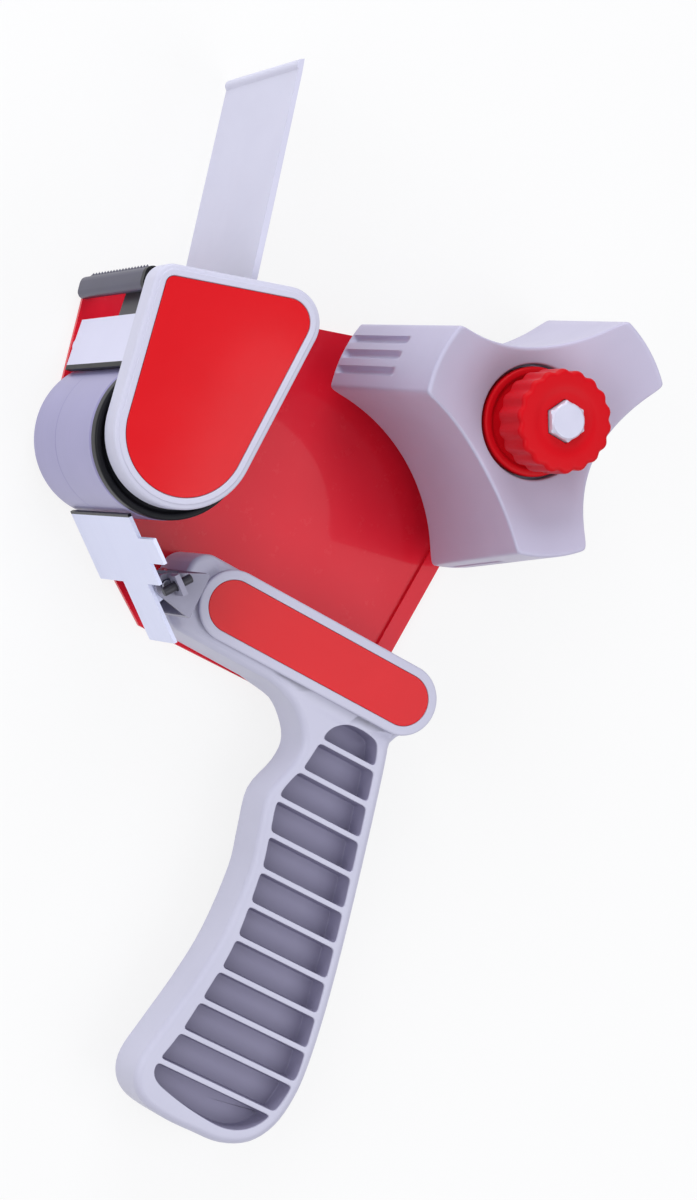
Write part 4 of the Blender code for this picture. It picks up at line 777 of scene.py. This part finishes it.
# Brake: a spring pushes a red disc and a friction washer against the hub. The red knob squeezes the
# spring as its bolt screws into the spindle.
DISC_PROFILE = [
    (3.45, 56.63, 0.2), (15.4, 56.63, 0.4), (15.4, 60.03, 1.0), (13.4, 60.03, 0.5), (12.6, 59.0, 0.6),
    (9.4, 59.0, 0.6), (8.6, 60.03, 0.5), (3.45, 60.03, 0.3)]
COIL_LOW, COIL_FIXED, COIL_MOVED = 60.93, 60.9, 71.2
KNOB_LOW, KNOB_HIGH, KNOB_RADIUS, KNOB_HOLLOW, KNOB_ROOF = 65.43, 78.93, 14.4, 7.2, 73.13
KNOB_PROFILE = [
    (KNOB_HOLLOW, KNOB_LOW, 0.3), (KNOB_RADIUS, KNOB_LOW, 1.4), (KNOB_RADIUS, KNOB_HIGH, 1.5),
    (9.6, KNOB_HIGH, 1.2), (8.0, KNOB_HIGH - 0.4, 1.2), (6.6, KNOB_HIGH - 0.45, 0)]
FLUTES, FLUTE_SIDES, FLUTE_DEEP, FLUTE_SHAPE, FLUTE_START, FLUTE_FADE = 18, 16, 0.7, 1.3, 11.0, 2.5
SOCKET_FLATS, SOCKET_TOP, SOCKET_FLOOR, BOLT_HOLE = 10.6, KNOB_HIGH - 0.5, KNOB_HIGH - 2.0, 3.15
SHANK_PROFILE, BOLT_SIDES = [(2.4, 14.0), (2.85, 14.6), (2.85, 77.23)], 96
HEAD_FLATS, HEAD_LEVELS, HEAD_TURNED, HEAD_SHOULDER = 10.0, (77.23, 79.75), 5.05, 80.15
HEAD_FACE = [(4.6, 80.6), (4.3, 80.62)]

red_moulding = moulding_finish(
    "red_moulding", linear(202, 8, 22), linear(212, 12, 26), roughness=0.36, grain=0.03, shine=0.12)
friction_pad = moulding_finish(
    "friction_pad", linear(70, 66, 60), linear(96, 90, 82), roughness=0.9, grain=0.4)
softened("friction_washer", "frame", "friction_pad", friction_pad, ease=0.2)
bm = bmesh.new()
turned(bm, eased(DISC_PROFILE), 0, 0)
settle(build_finished("disc_moulding", bm, red_moulding), "frame", "red_moulding", "brake_disc")
coil_sizes = {"Turns": 5.4, "Radius": 0.0060, "Wire": 0.0012, "Length": 0.0102}
spring = grown("brake_coil", wound_spring, coil_sizes, [(0, 0, COIL_LOW)], bright_steel)
settle(spring, None, "bright_steel", "brake_spring")
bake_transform(spring, "frame", "brake_feed", start=place(0, 0, COIL_FIXED), end=place(0, 0, COIL_MOVED))
softened("thrust_washer", "brake_feed", "bright_steel", bright_steel, ease=0.15)


def six_sided(across_flats, angle):
    """How far out a hexagon reaches at an angle."""
    return 0.5 * across_flats / math.cos((angle % (math.pi / 3)) - math.pi / 6)


def whole_turn(sides):
    return [math.tau * i / sides for i in range(sides)]


def around_axis(rings):
    """Points from rings of (reach, z, angle) round the hub's axis."""
    return [[(reach * math.cos(a), reach * math.sin(a), z) for reach, z, a in ring] for ring in rings]


def knob_skin(bm):
    """A fluted grip, hollow underneath, with a shallow round recess for the bolt's head in its face."""
    angles = whole_turn(FLUTES * FLUTE_SIDES)
    waves = [(0.5 - 0.5 * math.cos(FLUTES * a)) ** FLUTE_SHAPE for a in angles]
    rings = []
    for reach, z in eased(KNOB_PROFILE, 6):
        deep = FLUTE_DEEP * min(1.0, max(0.0, (reach - FLUTE_START) / FLUTE_FADE))
        rings.append([(reach - deep * wave, z, a) for wave, a in zip(waves, angles)])
    rings += [[(six_sided(SOCKET_FLATS, a), z, a) for a in angles] for z in (SOCKET_TOP, SOCKET_FLOOR)]
    for reach, z in ((BOLT_HOLE, SOCKET_FLOOR), (BOLT_HOLE, KNOB_ROOF), (KNOB_HOLLOW, KNOB_ROOF)):
        rings.append([(reach, z, a) for a in angles])
    loft(bm, around_axis(rings), closed=True)


def bolt_skin(bm):
    """A shank with a short point, and a hexagon head with its corners turned off."""
    angles = whole_turn(BOLT_SIDES)
    rings = [[(reach, z, a) for a in angles] for reach, z in SHANK_PROFILE]
    rings += [[(six_sided(HEAD_FLATS, a), z, a) for a in angles] for z in HEAD_LEVELS]
    rings += [[(min(six_sided(HEAD_FLATS, a), HEAD_TURNED), HEAD_SHOULDER, a) for a in angles]]
    rings += [[(reach, z, a) for a in angles] for reach, z in HEAD_FACE]
    loft(bm, around_axis(rings))


bm = bmesh.new()
knob_skin(bm)
settle(build_finished("knob_grip", bm, red_moulding), "knob", "red_moulding", "brake_knob")
bolt_zinc = steel_finish(
    "bolt_zinc", linear(200, 199, 218), linear(222, 221, 238), roughness=0.36, metallic=0.2)
bm = bmesh.new()
bolt_skin(bm)
settle(build_finished("hex_bolt", bm, bolt_zinc), "knob", "bright_steel", "knob_bolt")


# Handle: one white moulding of barrel and pistol grip, screwed to the plate. Both sides of the grip are
# cored out into bays between thin ribs, darkened with painted shade, and a raised oblong on the barrel
# takes a bare red label.
GRIP_EDGE = [
    (-24.5, -95.3), (-19.5, -96.4), (-13.0, -99.8), (-7.6, -106.0), (-7.2, -113.0), (-10.2, -123.5),
    (-7.6, -135.0), (-4.9, -146.0), (-4.0, -165.0), (-5.6, -180.0), (-8.4, -195.0), (-10.2, -205.5),
    (-8.6, -211.8), (-4.0, -215.8), (4.0, -217.4), (14.0, -217.5), (23.0, -217.0), (31.0, -213.4),
    (36.0, -206.4), (37.9, -197.0), (37.6, -187.0), (35.4, -172.1), (31.9, -154.7), (27.4, -135.2),
    (22.5, -115.2), (19.4, -103.2), (17.5, -96.4)]
BAY_EDGE = [
    (-1.6, -99.0), (-3.0, -105.0), (-4.0, -112.0), (-7.0, -122.5), (-4.4, -134.0), (-2.0, -144.0),
    (0.2, -165.0), (-1.0, -180.0), (-3.0, -195.0), (-5.2, -204.6), (-3.6, -208.6), (2.0, -210.6),
    (12.0, -212.4), (22.0, -212.8), (29.0, -209.8), (33.4, -203.4), (35.2, -194.0), (34.4, -184.0),
    (28.8, -155.0), (19.0, -115.5), (14.2, -98.8), (10.8, -95.6), (3.4, -95.6)]
RIBS, RIB_HALF = [-103.5 - 10 * i for i in range(11)], 0.75
BAY_TOP, BAY_FOOT, BAY_STEP, BAY_FEWEST = -90.0, -230.0, 0.8, 24
# Each step of a bay's rim: how far in, how deep, and 1 where painted shade darkens it.
BAY_PROFILE = [
    (-0.3, 0.0, 0), (-0.08, 0.08, 0), (0.0, 0.3, 0), (0.03, 0.8, 1), (0.25, 7.3, 1), (0.4, 7.8, 1),
    (0.7, 8.0, 1)]
FACE_ROUND, FACE_STEPS, GRIP_SWELL = 1.6, 5, 0.4
SILL_TOP, SILL_RUN = -95.3, 2.6
OBLONG = [(-44.5, -82.0, 10.3), (14.5, -82.0, 10.3)]
OBLONG_PROFILE = [
    (-3.6, 27.8, 0), (-2.75, 27.8, 0.1), (-2.7, 28.8, 0.2), (0.0, 28.8, 0.7), (0.0, 20.0, 0), (-3.6, 20.0, 0)]
OBLONG_PALE = 28.1
LABEL_PROFILE = [(-2.9, 28.1), (-2.82, 28.2), (-2.82, 28.6), (-2.92, 28.7)]


def handle_finish():
    """The white moulding, rougher where the mesh says that it is in a bay, and darker there with painted
    shade.
    """
    material, nodes, shader, spot = surface("handle_moulding", {})
    flow = noise(nodes, spot, 30.0, 3.0, Distortion=0.6)
    spark = noise(nodes, spot, 2600.0, 1.0)
    rub = noise(nodes, spot, 160.0, 5.0, Roughness=0.65)
    bay = nodes.add("ShaderNodeAttribute", {"attribute_name": "bay"}, {}, "Fac")
    pale = tinted(nodes, flow, linear(192, 191, 210), linear(204, 203, 221))
    # The bays' darker colour is painted shade in the recesses.
    dark = tinted(nodes, flow, linear(143, 139, 164), linear(155, 151, 176))
    feed(nodes, shader,
         base_color=tinted(nodes, bay, pale, dark),
         roughness=0.37 + rub * 0.12 + bay * 0.15,
         normal=relief(nodes, spark, strength=0.05, distance=0.0002))
    return material


def smooth_line(points, pieces, closed):
    """A smooth curve through points."""
    count = len(points)
    curve = []
    for i in range(count if closed else count - 1):
        beside = [i + k if closed else min(max(i + k, 0), count - 1) for k in (-1, 0, 1, 2)]
        a, b, c, d = (Vector(points[k % count]) for k in beside)
        for j in range(pieces):
            t = j / pieces
            curve.append(b + 0.5 * t * (
                (c - a) + (2 * a - 5 * b + 4 * c - d) * t + (3 * b - a - 3 * c + d) * t * t))
    return curve if closed else curve + [Vector(points[-1])]


def arc(x, y, radius, start, stop, count=10):
    angles = [math.radians(start + (stop - start) * i / count) for i in range(count + 1)]
    return [Vector((x + radius * math.cos(a), y + radius * math.sin(a))) for a in angles]


def handle_edge():
    """The handle's outline: the barrel's front, the grip, the heel behind it and the barrel's top."""
    edge = arc(-54.5, -89.0, 6.0, 180, 270) + smooth_line(GRIP_EDGE, 4, False)
    edge += [Vector((17.6, -94.6)), Vector((18.9, -92.2)), Vector((20.8, -90.0))]
    return edge + arc(14.3, -82.0, 10.2, -40, 90, 18) + arc(-54.5, -77.5, 6.0, 90, 180)[:-1]


def drawn_in(line, depth):
    """The line moved to its left by depth."""
    moved_in = []
    for i, here in enumerate(line):
        along = line[(i + 1) % len(line)] - line[i - 1]
        moved_in.append(here + Vector((-along.y, along.x)).normalized() * depth)
    return moved_in


def evenly_stepped(line):
    """The same closed line with its points set at even steps."""
    lengths = [(b - a).length for a, b in zip(line, line[1:] + line[:1])]
    total = sum(lengths)
    count = max(BAY_FEWEST, round(total / BAY_STEP))
    walked, i = 0.0, 0
    even = []
    for k in range(count):
        while walked + lengths[i] < total * k / count:
            walked += lengths[i]
            i += 1
        even.append(line[i].lerp(line[(i + 1) % len(line)], (total * k / count - walked) / lengths[i]))
    return even


def bay_between(top, foot):
    """The part of the cored region between two ribs, evenly stepped, with its corners rounded."""
    line = smooth_line(BAY_EDGE, 6, True)
    for limit, sign in ((foot, 1), (top, -1)):
        kept = []
        for a, b in zip(line, line[1:] + line[:1]):
            if sign * (a.y - limit) >= 0:
                kept.append(a)
            if (a.y - limit) * (b.y - limit) < 0:
                kept.append(a.lerp(b, (limit - a.y) / (b.y - a.y)))
        line = kept
    return smoothed(evenly_stepped(line), 2)


def inside_line(point, line):
    hit = False
    for a, b in zip(line, line[1:] + line[:1]):
        if (a.y > point.y) != (b.y > point.y) and point.x < a.x + (point.y - a.y) * (b.x - a.x) / (b.y - a.y):
            hit = not hit
    return hit


class HandleSide:
    """One side of the handle: its level on the barrel, and a soft step to its level on the grip."""

    def __init__(self, bm, barrel, grip, inward, step_top, step_run):
        self.bm = bm
        self.bay = bm.verts.layers.float["bay"]
        self.barrel = barrel
        self.grip = grip
        self.inward = inward
        self.step_top = step_top
        self.step_run = step_run

    def ring(self, line, depth, sink, dark=0.0, swell=0.0):
        """Points along a line, drawn in by depth and sunk from the side's level, more so on the grip."""
        verts = []
        for aside, point in zip(drawn_in(line, 1.0), line):
            t = min(1.0, max(0.0, (self.step_top - point.y) / self.step_run))
            on_grip = t * t * (3 - 2 * t)
            level = self.barrel + (self.grip - self.barrel) * on_grip
            more = 1 + swell * on_grip
            flat = point.lerp(aside, depth * more)
            vert = self.bm.verts.new((flat.x, flat.y, level + self.inward * sink * more))
            vert[self.bay] = dark
            verts.append(vert)
        return verts

    def skin(self, rings):
        for first, second in zip(rings, rings[1:]):
            band(self.bm, first, second)

    def rounded_edge(self, edge):
        """The round from the side's face to the handle's wall, as its first ring and its last."""
        rings = []
        for k in range(FACE_STEPS + 1):
            angle = math.pi / 2 * k / FACE_STEPS
            depth, sink = FACE_ROUND * (1 - math.sin(angle)), FACE_ROUND * (1 - math.cos(angle))
            rings.append(self.ring(edge, depth, sink, swell=GRIP_SWELL))
        self.skin(rings)
        return rings[0], rings[-1]

    def sunk_bay(self, outline):
        """A bay with a soft rim, and a floor of triangles round its middle. Its rim is given back."""
        rings = [self.ring(outline, *step) for step in BAY_PROFILE]
        self.skin(rings)
        floor = rings[-1]
        centre = self.bm.verts.new(sum((vert.co for vert in floor), Vector()) / len(floor))
        centre[self.bay] = 1.0
        for i in range(len(floor)):
            self.bm.faces.new((floor[i], floor[(i + 1) % len(floor)], centre))
        return rings[0]

    def face(self, loops, loose):
        """Fills the side between its outline and the rims in it, through loose points."""
        verts = [vert for loop in loops for vert in loop] + loose
        edges, first = [], 0
        for loop in loops:
            edges += [(first + i, first + (i + 1) % len(loop)) for i in range(len(loop))]
            first += len(loop)
        outline, *rims = [[vert.co.xy for vert in loop] for loop in loops]
        points = [vert.co.xy for vert in verts]
        spots, _, faces, sources, _, _ = delaunay_2d_cdt(points, edges, [], 0, 1e-5)
        for face in faces:
            centre = sum((spots[i] for i in face), Vector((0, 0))) / 3
            if inside_line(centre, outline) and not any(inside_line(centre, rim) for rim in rims):
                self.bm.faces.new([verts[sources[i][0]] for i in face])


def handle_skin(bm):
    """One closed skin: a rounded wall, and on each side a face with a rimmed pocket for every bay."""
    bm.verts.layers.float.new("bay")
    near = HandleSide(bm, barrel=25.8, grip=28.0, inward=-1, step_top=-92.5, step_run=5.0)
    far = HandleSide(bm, barrel=1.8, grip=9.0, inward=1, step_top=SILL_TOP, step_run=SILL_RUN)
    limits = zip([BAY_TOP] + RIBS, RIBS + [BAY_FOOT])
    bays = [bay_between(top - RIB_HALF, foot + RIB_HALF) for top, foot in limits]
    edge = handle_edge()
    # The sill's points hold the far face at the grip's level, just below the plate's edge
    sill = [(x, SILL_TOP) for x in range(-20, 16, 2)]
    sill += [(x, SILL_TOP - SILL_RUN) for x in range(-12, 16, 2)]
    walls = []
    for side, side_bays, held in ((near, bays, []), (far, bays[1:], sill)):
        outline, wall = side.rounded_edge(edge)
        rims = [side.sunk_bay(bay) for bay in side_bays]
        side.face([outline] + rims, [bm.verts.new((x, y, side.grip)) for x, y in held])
        walls.append(wall)
    band(bm, walls[1], walls[0])


handle_moulding = handle_finish()
bm = bmesh.new()
handle_skin(bm)
handle = build_finished("handle_body", bm, handle_moulding)
bm = bmesh.new()
edged(bm, OBLONG, eased(OBLONG_PROFILE))
raised = build_finished("raised_oblong", bm, handle_moulding)
joined = handle.modifiers.new("raised", "BOOLEAN")
joined.operation = "UNION"
joined.solver = "EXACT"
joined.object = raised
soft_normals(handle)
# The raised oblong stays pale, without the bays' painted shade.
for vert in handle.data.vertices:
    if vert.co.z > place(0, 0, OBLONG_PALE).z:
        handle.data.attributes["bay"].data[vert.index].value = 0.0
bpy.data.objects.remove(raised)
settle(handle, "frame", "white_moulding", "handle")
bm = bmesh.new()
edged(bm, OBLONG, LABEL_PROFILE)
settle(build_finished("oblong_label", bm, red_label), "frame", "red_label", "barrel_label")


# Flush screws: three hold the barrel to the plate and one holds the front bridge. Their cross-slotted
# heads are sunk in the plate's outer face, so that the gun lies flat.
HEAD_MIDDLE, SHANK_SHARE, SLOT_LENGTH, SLOT_WIDTH, SLOT_DEPTH = 0.2, 0.97, 0.7, 0.16, 1.2
SCREW_NODES = ("handle_screw_1", "handle_screw_2", "handle_screw_3", "bridge_screw_far")


def flush_screws(nodes, size):
    """A countersunk head with a cross slot, and its shank, on every point."""
    head = nodes.add("GeometryNodeMeshCone", {}, {
        "Vertices": 40, "Radius Top": size["Shank"], "Radius Bottom": size["Head"], "Depth": size["Sink"]})
    shank = nodes.add("GeometryNodeMeshCylinder", {}, {
        "Vertices": 40, "Radius": size["Shank"] * SHANK_SHARE, "Depth": size["Length"]})
    shank = moved(nodes, shank, Translation=vector(nodes, z=size["Length"] * 0.5 + size["Sink"] * 0.5))
    whole = nodes.add("GeometryNodeMeshBoolean", {"operation": "UNION", "solver": "EXACT"}, {
        "Mesh 2": [head, shank]})
    slots = []
    for wide, tall in ((SLOT_LENGTH, SLOT_WIDTH), (SLOT_WIDTH, SLOT_LENGTH)):
        across, along = size["Head"] * 2 * wide, size["Head"] * 2 * tall
        slots.append(nodes.add("GeometryNodeMeshCube", {}, {
            "Size": vector(nodes, across, along, size["Sink"] * SLOT_DEPTH)}))
    cut = nodes.add("GeometryNodeMeshBoolean", {"operation": "DIFFERENCE", "solver": "EXACT"}, {
        "Mesh 1": whole, "Mesh 2": slots})
    return on_points(nodes, size["Geometry"], cut)


screw_spots = []
for node in SCREW_NODES:
    low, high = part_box(node)
    middle = (low + high) / 2 - place(0, 0, 0)
    screw_spots.append((middle.x * 1000, middle.y * 1000, HEAD_MIDDLE))
screw_sizes = {"Head": 0.0034, "Shank": 0.0020, "Sink": 0.0013, "Length": 0.0120}
screws = grown("flush_screws", flush_screws, screw_sizes, screw_spots, bright_steel)
settle(screws, "frame", "bright_steel", *SCREW_NODES)
